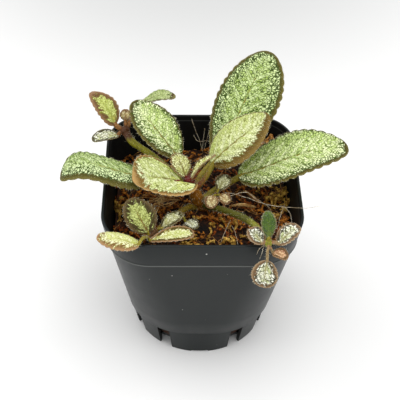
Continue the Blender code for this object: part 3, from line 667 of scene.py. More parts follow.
def upper_skin(finish):
    """Silvery blisters in a darker net, a toothed brown margin, pale side veins and a thin midrib."""
    paint = Paint(finish.name, finish.roughness, finish.shine)
    rim = paint.field("rim")
    silver = paint.field("silver")
    fine = paint.grain(0.3, 3)
    broad = paint.grain(3.5)
    place = paint.net_place()
    edge, chance = paint.net_cells(place)
    streak = paint.net_streaks(place)
    near_rim = paint.step(rim, finish.shade_width + finish.margin_width, finish.margin_width)
    border = paint.sum((near_rim, 0.07), (silver, -0.07), (broad, 0.03), (0.1, 1.0))
    depth = paint.sum((edge, 1.0), (fine, 0.12), (-0.06, 1.0))
    lit = paint.step(depth, *(paint.sum((border, finish.net_depth), (side, 1.0)) for side in (-0.02, 0.02)))
    pale = paint.sum((silver, 0.65), (chance, 0.6), (edge, 0.6), (streak, 0.4), (near_rim, 0.66),
                     (-0.57, 1.0))
    skin = paint.mix(paint.step(paint.field("along"), 0.35, 0.05), finish.skin, finish.foot)
    blister = paint.mix(paint.step(pale, 0.0, 1.0), skin, finish.silver)
    net = paint.mix(near_rim, paint.mix(finish.mesh, skin, finish.net), finish.net)
    tissue = paint.mix(lit, net, blister)
    tissue = paint.mix(paint.math("MULTIPLY", paint.field("vein"), 0.2), tissue, finish.silver)
    tissue = paint.mix(paint.field("rib"), tissue, finish.rib)
    ragged = paint.sum((rim, 1.0), (edge, -0.5 * finish.jag), (fine, -0.4 * finish.jag),
                       (streak, -2.4 * finish.jag), (1.55 * finish.jag, 1.0))
    brown = paint.step(ragged, finish.margin_width + 0.15, finish.margin_width - 0.15)
    margin = paint.mottled(finish.margin, fine, 0.35, 0.65, 0.4, (0.02, 0.014, 0.006))
    margin = paint.mix(paint.step(rim, 0.7 * finish.margin_width, 0.1), margin, finish.under)
    paint.relief(paint.sum((paint.step(edge, 0.0, 0.4), 0.7), (fine, 0.3)), 0.16, 0.8)
    return paint.coloured(paint.mix(brown, tissue, margin))


def lower_skin(finish):
    """The leaf's matt underside, paler along its ribs."""
    paint = Paint(finish.name + "_underside", 0.7, 0.3, sheen=0.2)
    fine = paint.grain(0.4, 3)
    colour = paint.mottled(finish.under, fine, 0.3, 0.7, 0.4, (0.02, 0.02, 0.006))
    paint.relief(fine, 0.1, 0.5)
    return paint.coloured(paint.mix(paint.field("rib"), colour, finish.skin))


def stem_skin(name, near, far, centre, reach):
    """A hairy juicy stem: one colour near its crown, another beyond, with fine lengthwise streaks."""
    paint = Paint(name, 0.55, 0.35)
    streak = paint.grain(0.7, 3)
    away = paint.sum((paint.from_point(centre), 1.0 / reach), (paint.grain(2.4), 0.8), (-0.5, 1.0))
    colour = paint.mix(paint.step(away, 0.3, 1.0), linear(near), linear(far))
    paint.relief(streak, 0.12, 0.5)
    return paint.coloured(paint.mottled(colour, streak, 0.3, 0.62, 0.5, (0.02, 0.012, 0.004)))


def fibre_skin(name, dark, light, size=1.6, bump=0.1, hollow=None):
    """Dry moss or fibre that changes colour every few millimetres; given a hollow, it is painted near black
    around it as shade.
    """
    paint = Paint(name, 0.75, 0.25)
    fleck = paint.grain(0.3)
    colour = paint.mix(paint.step(paint.grain(size, 3), 0.36, 0.62), linear(dark), linear(light))
    if hollow:
        # Painted shade: near black around the hollow's place, standing for the shadow in the hole.
        colour = paint.mix(paint.step(paint.from_point(hollow), 1.2, 4.5), (0.0008, 0.0004, 0.0002), colour)
    paint.relief(fleck, bump, 0.6)
    return paint.coloured(paint.mottled(colour, fleck, 0.35, 0.56, 0.7, (0.012, 0.006, 0.002)))


def hair_skin():
    """Fine pale plant hairs."""
    paint = Paint("plant_hair", 0.45, sheen=0.2)
    return paint.coloured(paint.mix(paint.grain(3), linear((206, 196, 150)), linear((240, 238, 218))))


def shaded_inner_plastic():
    """The inside of the pot: the same plastic, rougher, and painted darker as shade since little light
    reaches it, with a painted highlight line just under the rim.
    """
    paint = Paint("shaded_inner_plastic", 0.55, 0.18)
    streak = paint.grain(2, 3, (1, 1, 0.1))
    paint.relief(streak, 0.03, 0.4)
    # Painted shade: the inner wall's colours are darker than the outer plastic's.
    wall = paint.mix(streak, (0.002, 0.0022, 0.002), (0.006, 0.0062, 0.0055))
    # Painted highlight: a light grey band just under the rim, where the rim's inner edge catches light.
    return paint.coloured(paint.mix(paint.band(POT_TOP - LIP_HIGHLIGHT_DROP, 0.35), wall, (0.05, 0.053, 0.05)))


def plastic_skin():
    """Dark moulded plastic with a faint mottle in its gloss, scuffs, specks of dust, and a painted highlight
    line along the foot of the collar.
    """
    paint = Paint("moulded_plastic", 0.4, 0.29)
    mottle = paint.grain(6, 4)
    flow = paint.grain(3, 3, (1, 1, 0.12))
    scuff = paint.step(paint.grain(0.5, 4, (1, 1, 5)), 0.66, 0.74)
    specks = paint.step(paint.cells(5), 0.055, 0.03)
    dust = paint.math("MULTIPLY", specks, paint.step(paint.grain(9), 0.5, 0.6))
    base = paint.mix(mottle, (0.0022, 0.0046, 0.0046), (0.0046, 0.008, 0.0078))
    wear_and_highlight = paint.mix(paint.math("MULTIPLY", scuff, 0.25), base, (0.05, 0.055, 0.055))
    wear_and_highlight = paint.mix(paint.step(paint.from_point(FLECK), 0.36, 0.2), wear_and_highlight, (0.6, 0.6, 0.56))
    # Painted highlight: a thin light grey line on the bead at the collar's foot, standing for the light its
    # edge reflects.
    line = paint.band(COLLAR_FOOT + 0.3, 0.55)
    wear_and_highlight = paint.mix(paint.math("MULTIPLY", line, 0.75), wear_and_highlight, (0.14, 0.148, 0.14))
    gloss = paint.sum((mottle, 0.12), (flow, 0.08), (dust, 0.3), (0.28, 1.0))
    paint.relief(paint.sum((paint.grain(0.45, 3), 0.6), (flow, 0.4)), 0.03, 0.35)
    return paint.coloured(paint.mix(dust, wear_and_highlight, (0.45, 0.44, 0.4)), gloss)


def reach_at(angle, half, corner):
    """How far a square with rounded corners reaches at this angle from its middle."""
    corner = min(corner, half)
    fold = abs((angle + math.pi / 4) % (math.pi / 2) - math.pi / 4)
    flat = half - corner
    if half * math.tan(fold) <= flat:
        return half / math.cos(fold)
    along = flat * (math.cos(fold) + math.sin(fold))
    across = flat * (math.cos(fold) - math.sin(fold))
    return along + math.sqrt(corner ** 2 - across ** 2)


def shape_ring(piece, half, corner, height):
    """Puts the selected ring of points on a rounded square at this height, each at its own angle."""
    shape = bmesh.from_edit_mesh(piece.data)
    for point in shape.verts:
        if point.select:
            angle = math.atan2(point.co.y, point.co.x)
            reach = reach_at(angle, half, corner) * MM
            point.co = (math.cos(angle) * reach, math.sin(angle) * reach, height * MM)
    bmesh.update_edit_mesh(piece.data)


def body_share(height):
    """How far up the pot's body a height lies: 0 at the foot band and 1 at the collar's foot."""
    return (height - FOOT_TOP) / (COLLAR_FOOT - FOOT_TOP)


def inner_half(height):
    """Half the width inside the pot's body."""
    low = FOOT_SIDE_HALF + FOOT_STEP - WALL
    high = POT_HALF - COLLAR_TAPER - COLLAR_STEP - WALL
    return low + (high - low) * body_share(height)


def inner_corner(height):
    return FOOT_CORNER + (POT_CORNER - WALL - FOOT_CORNER) * body_share(height)


def rim_rings():
    """The rim's rings: up its rounded outer edge and down the inner one."""
    turns = [step / 4 * math.pi / 2 for step in range(5)]
    outer = [(RIM_ROUND * (1 - math.cos(turn)), POT_TOP - RIM_ROUND * (1 - math.sin(turn))) for turn in turns]
    inner = [(WALL - shy, height) for shy, height in reversed(outer)]
    return [(POT_HALF - shy, POT_CORNER - shy, height) for shy, height in outer + inner]


def pot_rings():
    """Half width, corner and height of each ring, from the pad under the pot round to its inner floor."""
    collar_half = POT_HALF - COLLAR_TAPER
    bead = (collar_half + BEAD, POT_CORNER + BEAD)
    body_low = (FOOT_SIDE_HALF + FOOT_STEP, FOOT_CORNER + FOOT_STEP, FOOT_TOP + 0.35)
    body_high = (collar_half - COLLAR_STEP, POT_CORNER - COLLAR_STEP, COLLAR_FOOT - 0.25)
    body = [tuple(np.add(body_low, np.subtract(body_high, body_low) * ring / BODY_RINGS))
            for ring in range(BODY_RINGS + 1)]
    return [
        (PAD_RADIUS, PAD_RADIUS, 0),
        (PAD_RADIUS + 0.6, POT_HALF, FLOOR_UNDERSIDE),
        (FOOT_RADIUS - WALL, POT_HALF, FLOOR_UNDERSIDE),
        (FOOT_RADIUS - WALL, POT_HALF, 0.15),
        (FOOT_RADIUS - WALL + 0.15, POT_HALF, 0),
        (FOOT_RADIUS - 0.2, POT_HALF, 0),
        (FOOT_RADIUS, POT_HALF, 0.2),
        (FOOT_SIDE_HALF, FOOT_CORNER, FOOT_TOP),
        (FOOT_SIDE_HALF + FOOT_STEP - 0.15, FOOT_CORNER + FOOT_STEP, FOOT_TOP + 0.12),
        *body,
        (collar_half - 0.1, POT_CORNER, COLLAR_FOOT - 0.1),
        (*bead, COLLAR_FOOT + 0.1),
        (*bead, COLLAR_FOOT + 0.35),
        (collar_half, POT_CORNER, COLLAR_FOOT + 0.6),
        *rim_rings(),
        *((inner_half(height), inner_corner(height), height) for height in (COLLAR_FOOT, FOOT_TOP + 4)),
        (FOOT_SIDE_HALF - WALL, FOOT_CORNER - WALL, FOOT_TOP),
        (FOOT_RADIUS - WALL + 0.4, POT_HALF, FLOOR_TOP),
    ]


def add_cutter(size, middle, turn):
    """A block for cutting the pot's foot: size and middle in mm, then turned about the Z axis."""
    bpy.ops.mesh.primitive_cube_add(size=1, location=[c * MM for c in middle])
    block = bpy.context.object
    block.scale = [c * MM for c in size]
    bpy.ops.object.transform_apply(location=True, scale=True)
    apply_modifier(block, "BEVEL", width=CUT_ROUND * MM, segments=2, limit_method="ANGLE")
    block.rotation_euler.z = turn
    bpy.ops.object.transform_apply(rotation=True)
    return block


def foot_cutters():
    """The blocks that cut a notch and two slots into each side of the foot, as one object."""
    slot = (0, 2 - FOOT_RADIUS - SLOT_SIZE[1] / 2, FOOT_TOP - 0.1 - SLOT_SIZE[2] / 2)
    cutters = []
    for quarter in range(4):
        axis = quarter * math.pi / 2
        cutters.append(add_cutter(NOTCH_SIZE, (0, -FOOT_RADIUS, 0), axis))
        for side in (-1, 1):
            cutters.append(add_cutter(SLOT_SIZE, slot, axis + side * math.radians(SLOT_OFF_AXIS)))
    return joined(cutters)


def make_pot():
    rings = pot_rings()
    bpy.ops.mesh.primitive_circle_add(vertices=POT_POINTS, radius=FOOT_RADIUS * MM)
    pot = bpy.context.object
    with edit_mode(pot):
        shape_ring(pot, *rings[0])
        for ring in rings[1:]:
            bpy.ops.mesh.extrude_edges_move()
            shape_ring(pot, *ring)
        bpy.ops.mesh.select_all(action="SELECT")
        bpy.ops.mesh.fill_holes(sides=0)
        bpy.ops.mesh.normals_make_consistent()
    cutter = foot_cutters()
    apply_modifier(pot, "BOOLEAN", operation="DIFFERENCE", solver="EXACT", object=cutter)
    bpy.data.objects.remove(cutter, do_unlink=True)
    into_triangles(pot)
    bpy.ops.object.shade_smooth_by_angle(angle=math.radians(SHARP_FROM))
    dress(pot, plastic_skin(), shaded_inner_plastic())
    for face in pot.data.polygons:
        middle = face.center
        inward = face.normal.x * middle.x + face.normal.y * middle.y < -TINY
        face.material_index = int(middle.z > FLOOR_TOP * MM and inward)
    return finished(pot, "moulded_pot", "pot_plastic", "pot")


def medium_top(x, y):
    """The height in mm of the medium's rough top: higher in front, lower along the back wall."""
    level = MEDIUM_LEVEL - MEDIUM_FALL * y / POT_HALF + MEDIUM_LEAN * x / POT_HALF
    mound = MOUND_RISE * math.exp(-(x * x + y * y) / MOUND_REACH ** 2)
    clumps = noise.noise(Vector((x, y, 0)) / CLUMP)
    ridges = 1 - 2 * abs(noise.noise(Vector((x + y, 2.2 * (y - x), RIDGE)) / RIDGE))
    return level + mound + RELIEF * (clumps + 0.8 * ridges - 0.5)


def make_moss_bed():
    """The body of the medium: the solid's own shape, with its top broken up. Its colour is painted near
    black, partly as the shade in the gaps between the strands.
    """
    only(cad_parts["growing_medium"])
    bpy.ops.object.duplicate()
    bed = bpy.context.object
    with edit_mode(bed):
        bpy.ops.mesh.remove_doubles(threshold=TINY)
        shape = bmesh.from_edit_mesh(bed.data)
        for face in shape.faces:
            face.select_set(face.normal.z > TOP_TILT and face.calc_center_median().z > MEDIUM_EDGE * MM)
        bmesh.update_edit_mesh(bed.data)
        bpy.ops.mesh.subdivide(number_cuts=3)
    group = bed.vertex_groups.new(name="top")
    for point in bed.data.vertices:
        inside = MEDIUM_REACH - max(abs(point.co.x), abs(point.co.y)) / MM
        if point.co.z > MEDIUM_EDGE * MM:
            group.add([point.index], min(max(inside / CLOD_FADE, 0), 1), "REPLACE")
    apply_modifier(bed, "DISPLACE", texture=clouds("clods", CLOD, depth=3), strength=CLOD_RISE * MM,
                   mid_level=0.6, vertex_group="top", texture_coords="LOCAL")
    into_triangles(bed)
    bed.data.materials.clear()
    # Partly the medium's own dark brown, partly painted shade in the gaps between strands.
    dress(bed, fibre_skin("moss_bed", (9, 4, 1), (70, 34, 9), 1.3, 0.8, (*HOLLOW, MEDIUM_LEVEL)))
    return finished(bed, "moss_bed", "moss_fibre", "growing_medium")


def inside_pot(x, y):
    angle = math.atan2(y, x)
    return math.hypot(x, y) < reach_at(angle, MEDIUM_REACH, MEDIUM_CORNER)


def random_place(dice):
    """A place inside the pot, as x and y in mm."""
    while True:
        x, y = (dice.uniform(-MEDIUM_REACH, MEDIUM_REACH) for _ in "xy")
        if inside_pot(x, y):
            return x, y


def scattered(dice, place, reach):
    """A random place about the given one, off it by about this much on each axis."""
    return [dice.gauss(c, reach) for c in place]


def tuft_place(dice):
    """A place near the middle of one of the golden tufts, as x and y in mm."""
    return scattered(dice, dice.choice(TUFTS), TUFT_REACH)


def curl_place(dice):
    """A place in the tuft that stands up in the back right corner, as x and y in mm."""
    return scattered(dice, CURLS, CURL_REACH)


def stepped(x, y, heading, stride):
    """The place this far on along the heading."""
    return x + math.cos(heading) * stride, y + math.sin(heading) * stride


def fibre_path(dice, start, length, lift, wander):
    """Points of a strand that winds over the medium from this start, kept inside the pot."""
    x, y = start
    heading = dice.uniform(0, 2 * math.pi)
    turn = dice.gauss(0, wander / 2)
    count = max(5, round(length / FIBRE_STEP))
    peak = dice.uniform(0.2, 1.0) * lift
    places = []
    for step in range(count):
        share = step / (count - 1)
        rise = peak * math.sin(math.pi * share) + dice.uniform(-0.35, 0.35) - 0.3
        places.append(Vector((x, y, medium_top(x, y) + rise)))
        heading += turn + dice.gauss(0, wander)
        if not inside_pot(*stepped(x, y, heading, length / count)):
            heading += TURN_BACK
        x, y = stepped(x, y, heading, length / count)
    return places


def covers_hollow(places):
    """Whether a strand would lie over the dark hollow in front of the crown."""
    return any(math.hypot(place.x - HOLLOW[0], place.y - HOLLOW[1]) < HOLLOW_REACH for place in places)


def clear_of_wall(place):
    """The place, drawn in towards the pot's axis where it would lie in the wall."""
    height = min(place.z, COLLAR_FOOT)
    flare = max(place.z - COLLAR_FOOT, 0) / COLLAR_HEIGHT * (COLLAR_TAPER + COLLAR_STEP)
    half = inner_half(height) + flare - WALL_CLEARANCE
    reach = reach_at(math.atan2(place.y, place.x), half, inner_corner(height))
    share = min(1, reach / max(math.hypot(place.x, place.y), reach))
    return Vector((place.x * share, place.y * share, place.z))


def tapered(count, radius):
    """A tube's radii: full in the middle and thin at both ends."""
    turns = [math.pi * (0.08 + 0.84 * index / (count - 1)) for index in range(count)]
    return [radius * (0.25 + 0.75 * math.sin(turn)) for turn in turns]


def make_strands(name, seed, count, lengths, radii, lift, wander, colours, leafy=0, place=random_place):
    """A matted layer of strands. Leafy ones carry short scale leaves, as moss does."""
    dice = random.Random(seed)
    paths = []
    for _ in range(count):
        places = fibre_path(dice, place(dice), dice.uniform(*lengths), lift, wander)
        radius = dice.uniform(*radii)
        strand = [(places, tapered(len(places), radius))]
        for _ in range(leafy):
            index = dice.randrange(len(places) - 1)
            foot = places[index].lerp(places[index + 1], dice.random())
            along = (places[index + 1] - places[index]).normalized()
            side = Vector((dice.gauss(0, 1), dice.gauss(0, 1), dice.gauss(0.3, 0.8))).normalized()
            tip = (along * 0.6 + side * 0.8).normalized() * dice.uniform(*SCALE_LEAF)
            strand.append(([foot, foot + tip * 0.5 + side * 0.1, foot + tip],
                           [radius * 0.5, radius * dice.uniform(0.5, 0.9), 0.01]))
        if not covers_hollow(places):
            paths.extend(([clear_of_wall(point) for point in line], widths) for line, widths in strand)
    return finished(add_tubes(name, paths, fibre_skin(name, *colours), sides=4), name, "moss_fibre")


def make_moss():
    warm = ((70, 29, 3), (206, 128, 38), 1.1)
    rust = ((44, 16, 3), (172, 84, 16), 1.1)
    golden = ((140, 98, 20), (236, 192, 92))
    curls = ((150, 82, 18), (232, 168, 90))
    coir = ((104, 60, 20), (214, 160, 92))
    make_strands("moss_stems", 3, 115, (6, 13), (0.35, 0.75), 2.2, 0.42, warm, leafy=12)
    make_strands("moss_stems_rust", 4, 115, (5, 11), (0.35, 0.6), 1.2, 0.42, rust, leafy=11)
    make_strands("moss_stems_golden", 5, 58, (4, 9), (0.4, 0.8), 2.8, 0.4, golden, leafy=13, place=tuft_place)
    make_strands("moss_curls", 7, 14, (7, 12), (0.4, 0.8), 11, 0.45, curls, leafy=6, place=curl_place)
    make_strands("coir_fibres", 6, 120, (9, 22), (0.07, 0.16), 3.2, 0.22, coir)


def make_rootlets():
    """The pale thin roots that show one by one."""
    dice = random.Random(8)
    paths = []
    for route in ROOTLETS:
        path = smooth_path(route, 7)
        shaky = [scattered(dice, place, 0.06) for place in path]
        paths.append((shaky, spread((0.1, 0.09, 0.05), len(path))))
    skin = fibre_skin("pale_root", (190, 168, 130), (240, 230, 206))
    return finished(add_tubes("rootlets", paths, skin, sides=6), "rootlets", "moss_fibre")


def make_fan():
    """The long tan fibres that spread leftwards from the crown, and the thicker dry stems."""
    dice = random.Random(12)
    paths = []
    for _ in range(FAN_COUNT):
        ends = [scattered(dice, place, reach) for place, reach in zip(FAN, FAN_SPREAD)]
        path = smooth_path(ends, 6)
        paths.append((path, tapered(len(path), dice.uniform(0.12, 0.24))))
    for straw in STRAWS:
        path = smooth_path(straw, 6)
        paths.append((path, tapered(len(path), STRAW_RADIUS)))
    skin = fibre_skin("tan_fibre", (158, 104, 42), (242, 204, 136), 3)
    return finished(add_tubes("tan_fibres", paths, skin, sides=6), "tan_fibres", "moss_fibre")


def hair(foot, direction, length, dice, radius=HAIR_RADIUS):
    """One bent hair that tapers to a point."""
    middle = foot + direction * length * 0.55
    tip = foot + Vector(scattered(dice, direction, 0.25)).normalized() * length
    return [foot - direction * 0.05, middle, tip], [radius, radius * 0.8, radius * 0.15]


def tube_hairs(path, radii, per_mm, lengths, dice):
    """Hairs that stand out all round a stem."""
    hairs = []
    for start, end, radius in zip(path, path[1:], radii):
        along = end - start
        if along.length < 1e-6:
            continue
        for _ in range(round(along.length * per_mm + dice.random())):
            side = along.cross(scattered(dice, (0, 0, 0), 1)).normalized()
            foot = start.lerp(end, dice.random()) + side * radius * 0.92
            direction = (side + along.normalized() * 0.25).normalized()
            hairs.append(hair(foot, direction, dice.uniform(*lengths), dice))
    return hairs


def make_crown_stem(hairs, dice):
    path = smooth_path(STEM_POINTS, 8)
    radii = spread(STEM_RADII, len(path))
    for index, place in enumerate(path):
        radii[index] *= 1 + 0.07 * math.sin(place.z * 1.9) + 0.04 * math.sin(place.z * 4.3)
    tip = path[-1] + (path[-1] - path[-2]).normalized() * 1.2
    skin = stem_skin("crown_stem_skin", (104, 18, 18), (152, 96, 14), STEM_TIP, 7)
    stem = add_tubes("crown", [([*path, tip], [*radii, 0.5])], skin, sides=20)
    hairs.extend(tube_hairs(path[8:], radii[8:], 9, (0.6, 1.3), dice))
    return finished(stem, "hairy_crown_stem", "stem_red", "crown_stem")


def make_shoot(shoot, hairs, dice):
    """A runner that starts inside the stem and swells into its small crown."""
    out = Vector(shoot.out).normalized()
    start = Vector(shoot.root) + out * (shoot.root_radius - ROOT_SUNK)
    path = smooth_path([start, start + out * 2, *shoot.points], 6)
    radii = spread(shoot.radii, len(path))
    for index, place in enumerate(path):
        radii[index] *= 1 + 0.06 * math.sin(place.x * 1.7 + place.y)
    skin = stem_skin(shoot.name + "_skin", shoot.near, shoot.far, path[-1], shoot.reach)
    runner = add_tubes("runner", [(path, radii)], skin, sides=14)
    bpy.ops.mesh.primitive_ico_sphere_add(subdivisions=4, radius=shoot.crown * MM, location=path[-1] * MM)
    crown = bpy.context.object
    bpy.ops.object.transform_apply(location=True)
    apply_modifier(crown, "DISPLACE", texture=clouds("lumps", LUMP), strength=LUMP_RISE * MM, mid_level=0.7,
                   texture_coords="LOCAL")
    bpy.ops.object.shade_smooth()
    dress(crown, skin)
    piece = joined([runner, crown])
    hairs.extend(tube_hairs(path, radii, 5, (0.5, 1.1), dice))
    return finished(piece, "hairy_" + shoot.name, "stem_olive", shoot.name)


def hump(u, peak):
    """0 at both ends of a blade and 1 where u reaches peak."""
    return np.sin(np.pi * np.clip(u, 0, 1) ** (math.log(0.5) / math.log(peak)))


def blade_frame(leaf):
    """The blade's axes as columns: along it, to its left, and out of its upper face."""
    heading = math.radians(leaf.heading)
    pitch = math.radians(leaf.pitch)
    level = math.cos(pitch)
    along = Vector((level * math.cos(heading), level * math.sin(heading), math.sin(pitch)))
    left = Vector((0, 0, 1)).cross(along).normalized()
    face = along.cross(left)
    frame_of = Matrix((along, left, face)).transposed()
    return frame_of @ Matrix.Rotation(math.radians(leaf.roll), 3, "X")


def outline(leaf, u):
    """Half the blade's width in mm, and its share of the greatest, at u from base to tip."""
    profile = np.maximum(hump(u, leaf.widest), 0) ** leaf.blunt
    return BLADE_END + (leaf.width / 2 - BLADE_END) * profile, profile


def scallops(leaf, u):
    """How deep the margin is cut at u, in mm: rounded teeth of uneven size with sharp gaps."""
    place = leaf.teeth * u
    share = place - np.floor(place)
    size = 0.75 + 0.5 * np.sin(12.9898 * np.floor(place) + leaf.length) ** 2
    return leaf.tooth * size * (1 - np.sin(np.pi * share ** 1.25) ** 0.8)


def blade_places(leaf, u, v, lift=0.0):
    """Places in mm on the blade: u runs from base to tip, v from -1 to 1 across, lift out of its face."""
    half, profile = outline(leaf, u)
    notch = scallops(leaf, u) * profile * np.abs(v) ** 6
    x = leaf.length * u - leaf.lobe * np.maximum(v, 0) * (1 - u) ** 3 - leaf.skew * v * 4 * u * (1 - u)
    y = v * (half - notch) + leaf.sweep * leaf.length * 4 * u * (1 - u)
    z = leaf.arch * leaf.length * hump(u, leaf.arch_at)
    z = z + half * profile * (leaf.cup * v ** 2 + leaf.fold * np.abs(v))
    z = z + leaf.wave * v ** 2 * np.sin(2.5 * np.pi * u + v) + lift
    local = np.stack((x, y, z), axis=-1)
    return np.array(leaf.base) + local @ np.array(blade_frame(leaf)).T


def cell_borders(p, q, seed):
    """How far each point lies from the border between cells about 1 across: 0 at the border."""
    tile = 64
    jitter = np.random.default_rng(seed).uniform(0.1, 0.9, (tile, tile, 2))
    column = np.floor(p).astype(int)
    row = np.floor(q).astype(int)
    nearest = np.full(p.shape, 9.0)
    second = nearest.copy()
    for right in (-1, 0, 1):
        for up in (-1, 0, 1):
            middle = jitter[(column + right) % tile, (row + up) % tile]
            away = np.hypot(column + right + middle[..., 0] - p, row + up + middle[..., 1] - q)
            second = np.minimum(second, np.maximum(nearest, away))
            nearest = np.minimum(nearest, away)
    return second - nearest


def skin_fields(leaf, u, v):
    """Where the net, side veins and midrib lie: a dict of numbers for each point of the blade."""
    half, _ = outline(leaf, u)
    x = leaf.length * u
    y = v * half
    away = np.abs(y)
    count = max(4, round(leaf.length / VEIN_SPACING))
    spacing = leaf.length / (count + 1)
    slant = x - 0.8 * away - 0.35 * away ** 2 / np.maximum(half, 1) + 0.5 * spacing * (v > 0)
    to_vein = (slant / spacing - np.round(slant / spacing)) * spacing
    scale = BLISTER * leaf.finish.blister * min(1, 0.8 + leaf.length / 120)
    along_vein = (x * 0.62 + away * 0.78) / (BLISTER_STRETCH * scale)
    across_vein = (x * 0.78 - away * 0.62) / scale
    pucker = cell_borders(along_vein / PUCKER + 40 * (v > 0), across_vein / PUCKER, round(leaf.length * 10))
    to_side = half * (1 - np.abs(v))
    to_margin = to_side
    if leaf.lobe:
        to_margin = np.maximum(half, leaf.width / 4) * (1 - np.abs(v)) / np.minimum(1, 0.35 + 2 * u)
    to_tip = leaf.length * (1 - u) * 1.1
    to_base = leaf.length * u * 0.9 + 0.9
    left, right, tip = leaf.margins
    reach = np.clip(1 - np.abs(v), 0, 1)
    feather = np.exp(-(to_vein / (0.22 * spacing)) ** 2) * reach ** 0.6
    plateau = np.exp(-(np.abs(v) / 0.72) ** 4)
    return {
        "net": np.stack((along_vein, across_vein, 2 * v + leaf.length), axis=-1),
        "pucker": np.clip(pucker * 1.3, 0, 1),
        "rim": np.minimum(to_margin / np.where(v > 0, left, right), to_tip / tip),
        "edge": np.minimum(to_side, np.minimum(to_tip, to_base)),
        "silver": 0.5 * feather + 0.5 * plateau,
        "rib": np.exp(-(y / 0.34) ** 2) * np.clip((0.75 - u) * 2.5, 0, 1),
        "vein": np.exp(-(to_vein / 0.45) ** 2) * np.clip(reach * 2.2, 0, 1),
        "along": u,
        "midrib": np.exp(-(y / (0.32 + 0.5 * (1 - u))) ** 2) * np.clip((1 - u) * 2.5, 0, 1),
        "pillow": np.cos(2 * np.pi * to_vein / spacing) * reach,
    }


def add_blade(leaf, upper, lower):
    """The blade: a fine grid moved to the leaf's form, with its veins sunk and its skin blistered."""
    along = max(24, round(leaf.length / GRID))
    across = max(16, round(leaf.width / GRID))
    bpy.ops.mesh.primitive_grid_add(x_subdivisions=along, y_subdivisions=across, size=2)
    blade = bpy.context.object
    flat = points_of(blade)
    share = (flat[:, 0] + 1) / 2
    u = share - END_CROWD * np.sin(2 * np.pi * share)
    v = flat[:, 1]
    fields = skin_fields(leaf, u, v)
    edge = fields["edge"]
    size = min(1, leaf.width / 16)
    lift = PUCKER_RISE * np.sqrt(size) * (fields["pucker"] - 0.5) * np.clip(edge / 0.6, 0, 1)
    lift -= size * (VEIN_SUNK * fields["vein"] + RIB_SUNK * fields["midrib"] + PILLOW * fields["pillow"])
    lift -= EDGE_DROP * np.exp(-edge / 0.5)
    set_points(blade, blade_places(leaf, u, v, lift) * MM)
    for name in ("net", "rim", "silver", "rib", "vein", "along"):
        set_field(blade, name, fields[name])
    group = blade.vertex_groups.new(name="thickness")
    for index, inside in enumerate(edge):
        group.add([index], min(1, 0.45 + 0.4 * float(inside)), "REPLACE")
    apply_modifier(blade, "SOLIDIFY", thickness=BLADE_THICKNESS * MM, offset=0, material_offset=1,
                   vertex_group="thickness", use_rim=True)
    blade.vertex_groups.clear()
    bpy.ops.object.shade_smooth()
    dress(blade, upper, lower)
    return blade


def stalk_path(leaf):
    """Places and radii in mm of the stalk, from inside its stem to near the tip under the midrib."""
    out = Vector(leaf.out).normalized()
    root_radius = CROWN_RADII.get(leaf.root, leaf.root_radius)
    start = Vector(leaf.root) + out * max(root_radius - ROOT_SUNK, 0)
    below = blade_frame(leaf) @ Vector((0, 0, -1))
    joint = Vector(blade_places(leaf, 0.03, 0.0)) + below * leaf.stalk * 0.8
    lead = out * min(1.6 * leaf.stalk, 0.35 * (joint - start).length)
    path = smooth_path([start, start + lead, *leaf.via, joint], 6)
    radii = [leaf.stalk] * len(path)
    for u in np.linspace(0.1, 0.85, RIB_STEPS):
        radius = leaf.stalk * (0.8 - 0.75 * u)
        sunk = radius - 0.15 + BLADE_THICKNESS / 2
        path.append(Vector(blade_places(leaf, u, 0.0)) + below * sunk)
        radii.append(radius)
    return path, radii


def blade_hairs(leaf, dice):
    """Hairs along the margin, and short ones that stand on the upper face."""
    hairs = []
    frame_of = blade_frame(leaf)
    face = frame_of @ Vector((0, 0, 1))
    size = min(1, 0.45 + leaf.length / 50)
    for side in (-1, 1):
        for _ in range(round(leaf.length * MARGIN_HAIRS)):
            u = dice.uniform(0.01, 0.995)
            edge = Vector(blade_places(leaf, u, side * 1.0))
            inner = Vector(blade_places(leaf, u, side * 0.85))
            ahead = frame_of @ Vector((dice.uniform(-0.2, 0.8) + 2 * max(u - 0.85, 0), 0, 0))
            direction = ((edge - inner).normalized() + ahead - face * dice.uniform(-0.2, 0.6)).normalized()
            hairs.append(hair(edge, direction, dice.uniform(0.35, 0.95) * size, dice))
    for _ in range(round(leaf.length * leaf.width * FACE_HAIRS)):
        u, v = dice.uniform(0.03, 0.97), dice.uniform(-0.96, 0.96)
        foot = Vector(blade_places(leaf, u, v, 0.2))
        direction = (face + frame_of @ Vector((dice.gauss(0.3, 0.3), dice.gauss(0, 0.3), 0))).normalized()
        hairs.append(hair(foot, direction, dice.uniform(0.25, 0.6) * size, dice, FACE_HAIR_RADIUS))
    return hairs


def make_leaf(leaf, skins, leaf_hairs, stem_hairs, dice):
    upper, lower, stem = skins
    blade = add_blade(leaf, upper, lower)
    path, radii = stalk_path(leaf)
    piece = joined([blade, add_tubes("stalk", [(path, radii)], stem, sides=10)])
    leaf_hairs.extend(blade_hairs(leaf, dice))
    stem_hairs.extend(tube_hairs(path[:-RIB_STEPS], radii[:-RIB_STEPS], 4, (0.4, 0.9), dice))
    return finished(piece, "veined_" + leaf.name, leaf.finish.slot, leaf.name)


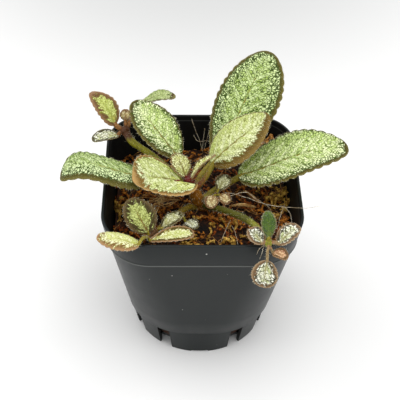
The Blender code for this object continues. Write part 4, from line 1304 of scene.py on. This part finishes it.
def make_plant():
    dice = random.Random(21)
    stem_hairs = []
    leaf_hairs = []
    make_crown_stem(stem_hairs, dice)
    for shoot in SHOOTS:
        make_shoot(shoot, stem_hairs, dice)
    finishes = {leaf.finish.name: leaf.finish.made_linear() for leaf in LEAVES}
    skins = {name: (upper_skin(finish), lower_skin(finish)) for name, finish in finishes.items()}
    stalks = {RIGHT_CROWN: stem_skin("tan_stalk", (158, 112, 76), (164, 138, 92), RIGHT_CROWN, 3),
              BACK_LEFT_CROWN: stem_skin("rusty_stalk", (92, 38, 14), (150, 100, 42), BACK_LEFT_CROWN, 3)}
    green_stalk = stem_skin("green_stalk", (118, 34, 16), (146, 132, 30), STEM_TIP, 10)
    for leaf in LEAVES:
        stalk = green_stalk if leaf.finish is GLOSSY else stalks.get(leaf.root, green_stalk)
        make_leaf(leaf, (*skins[leaf.finish.name], stalk), leaf_hairs, stem_hairs, dice)
    skin = hair_skin()
    finished(add_tubes("leaf_hairs", leaf_hairs, skin, sides=4), "leaf_hairs", "leaf_silver_green")
    finished(add_tubes("stem_hairs", stem_hairs, skin, sides=4), "stem_hairs", "stem_olive")


def make_floor():
    bpy.ops.mesh.primitive_plane_add(size=4)
    floor = bpy.context.object
    floor.name = "floor"
    paint = Paint("pale_floor", 0.9, 0.1)
    # Painted shade: the floor turns grey towards a point far behind the pot, standing for the light falling
    # off there.
    far_shade = paint.step(paint.from_point((0, 330, 0)), 260, 60)
    dress(floor, paint.coloured(paint.mix(far_shade, (0.93, 0.93, 0.925), (0.635, 0.64, 0.635))))


def add_light(name, size, watts, place):
    bpy.ops.object.light_add(type="AREA", location=place)
    light = bpy.context.object
    light.name = name
    light.data.size = size
    light.data.energy = watts
    light.rotation_euler = (Vector(AIM) - Vector(place)).to_track_quat("-Z", "Y").to_euler()


def make_studio():
    make_floor()
    world = bpy.data.worlds.new("studio")
    bpy.context.scene.world = world
    world.use_nodes = True
    background = world.node_tree.nodes["Background"].inputs
    background["Color"].default_value = (1, 1, 1, 1)
    background["Strength"].default_value = 0.84
    add_light("key", 0.55, 2.3, (0.12, -0.12, 0.8))
    add_light("fill", 0.8, 1.5, (-0.5, 0.1, 0.6))
    bpy.context.scene.view_settings.view_transform = "Standard"


def make_camera():
    bpy.ops.object.camera_add(location=[c * MM for c in EYE])
    camera = bpy.context.object
    turn = (Matrix.Rotation(math.radians(YAW), 3, "Z") @ Matrix.Rotation(math.radians(90 - ELEVATION), 3, "X")
            @ Matrix.Rotation(math.radians(ROLL), 3, "Z"))
    camera.rotation_euler = turn.to_euler()
    camera.data.lens = LENS
    camera.data.sensor_width = SENSOR
    camera.data.clip_start = 0.01
    bpy.context.scene.camera = camera


make_pot()
make_moss_bed()
make_moss()
make_rootlets()
make_fan()
make_plant()
make_studio()
make_camera()
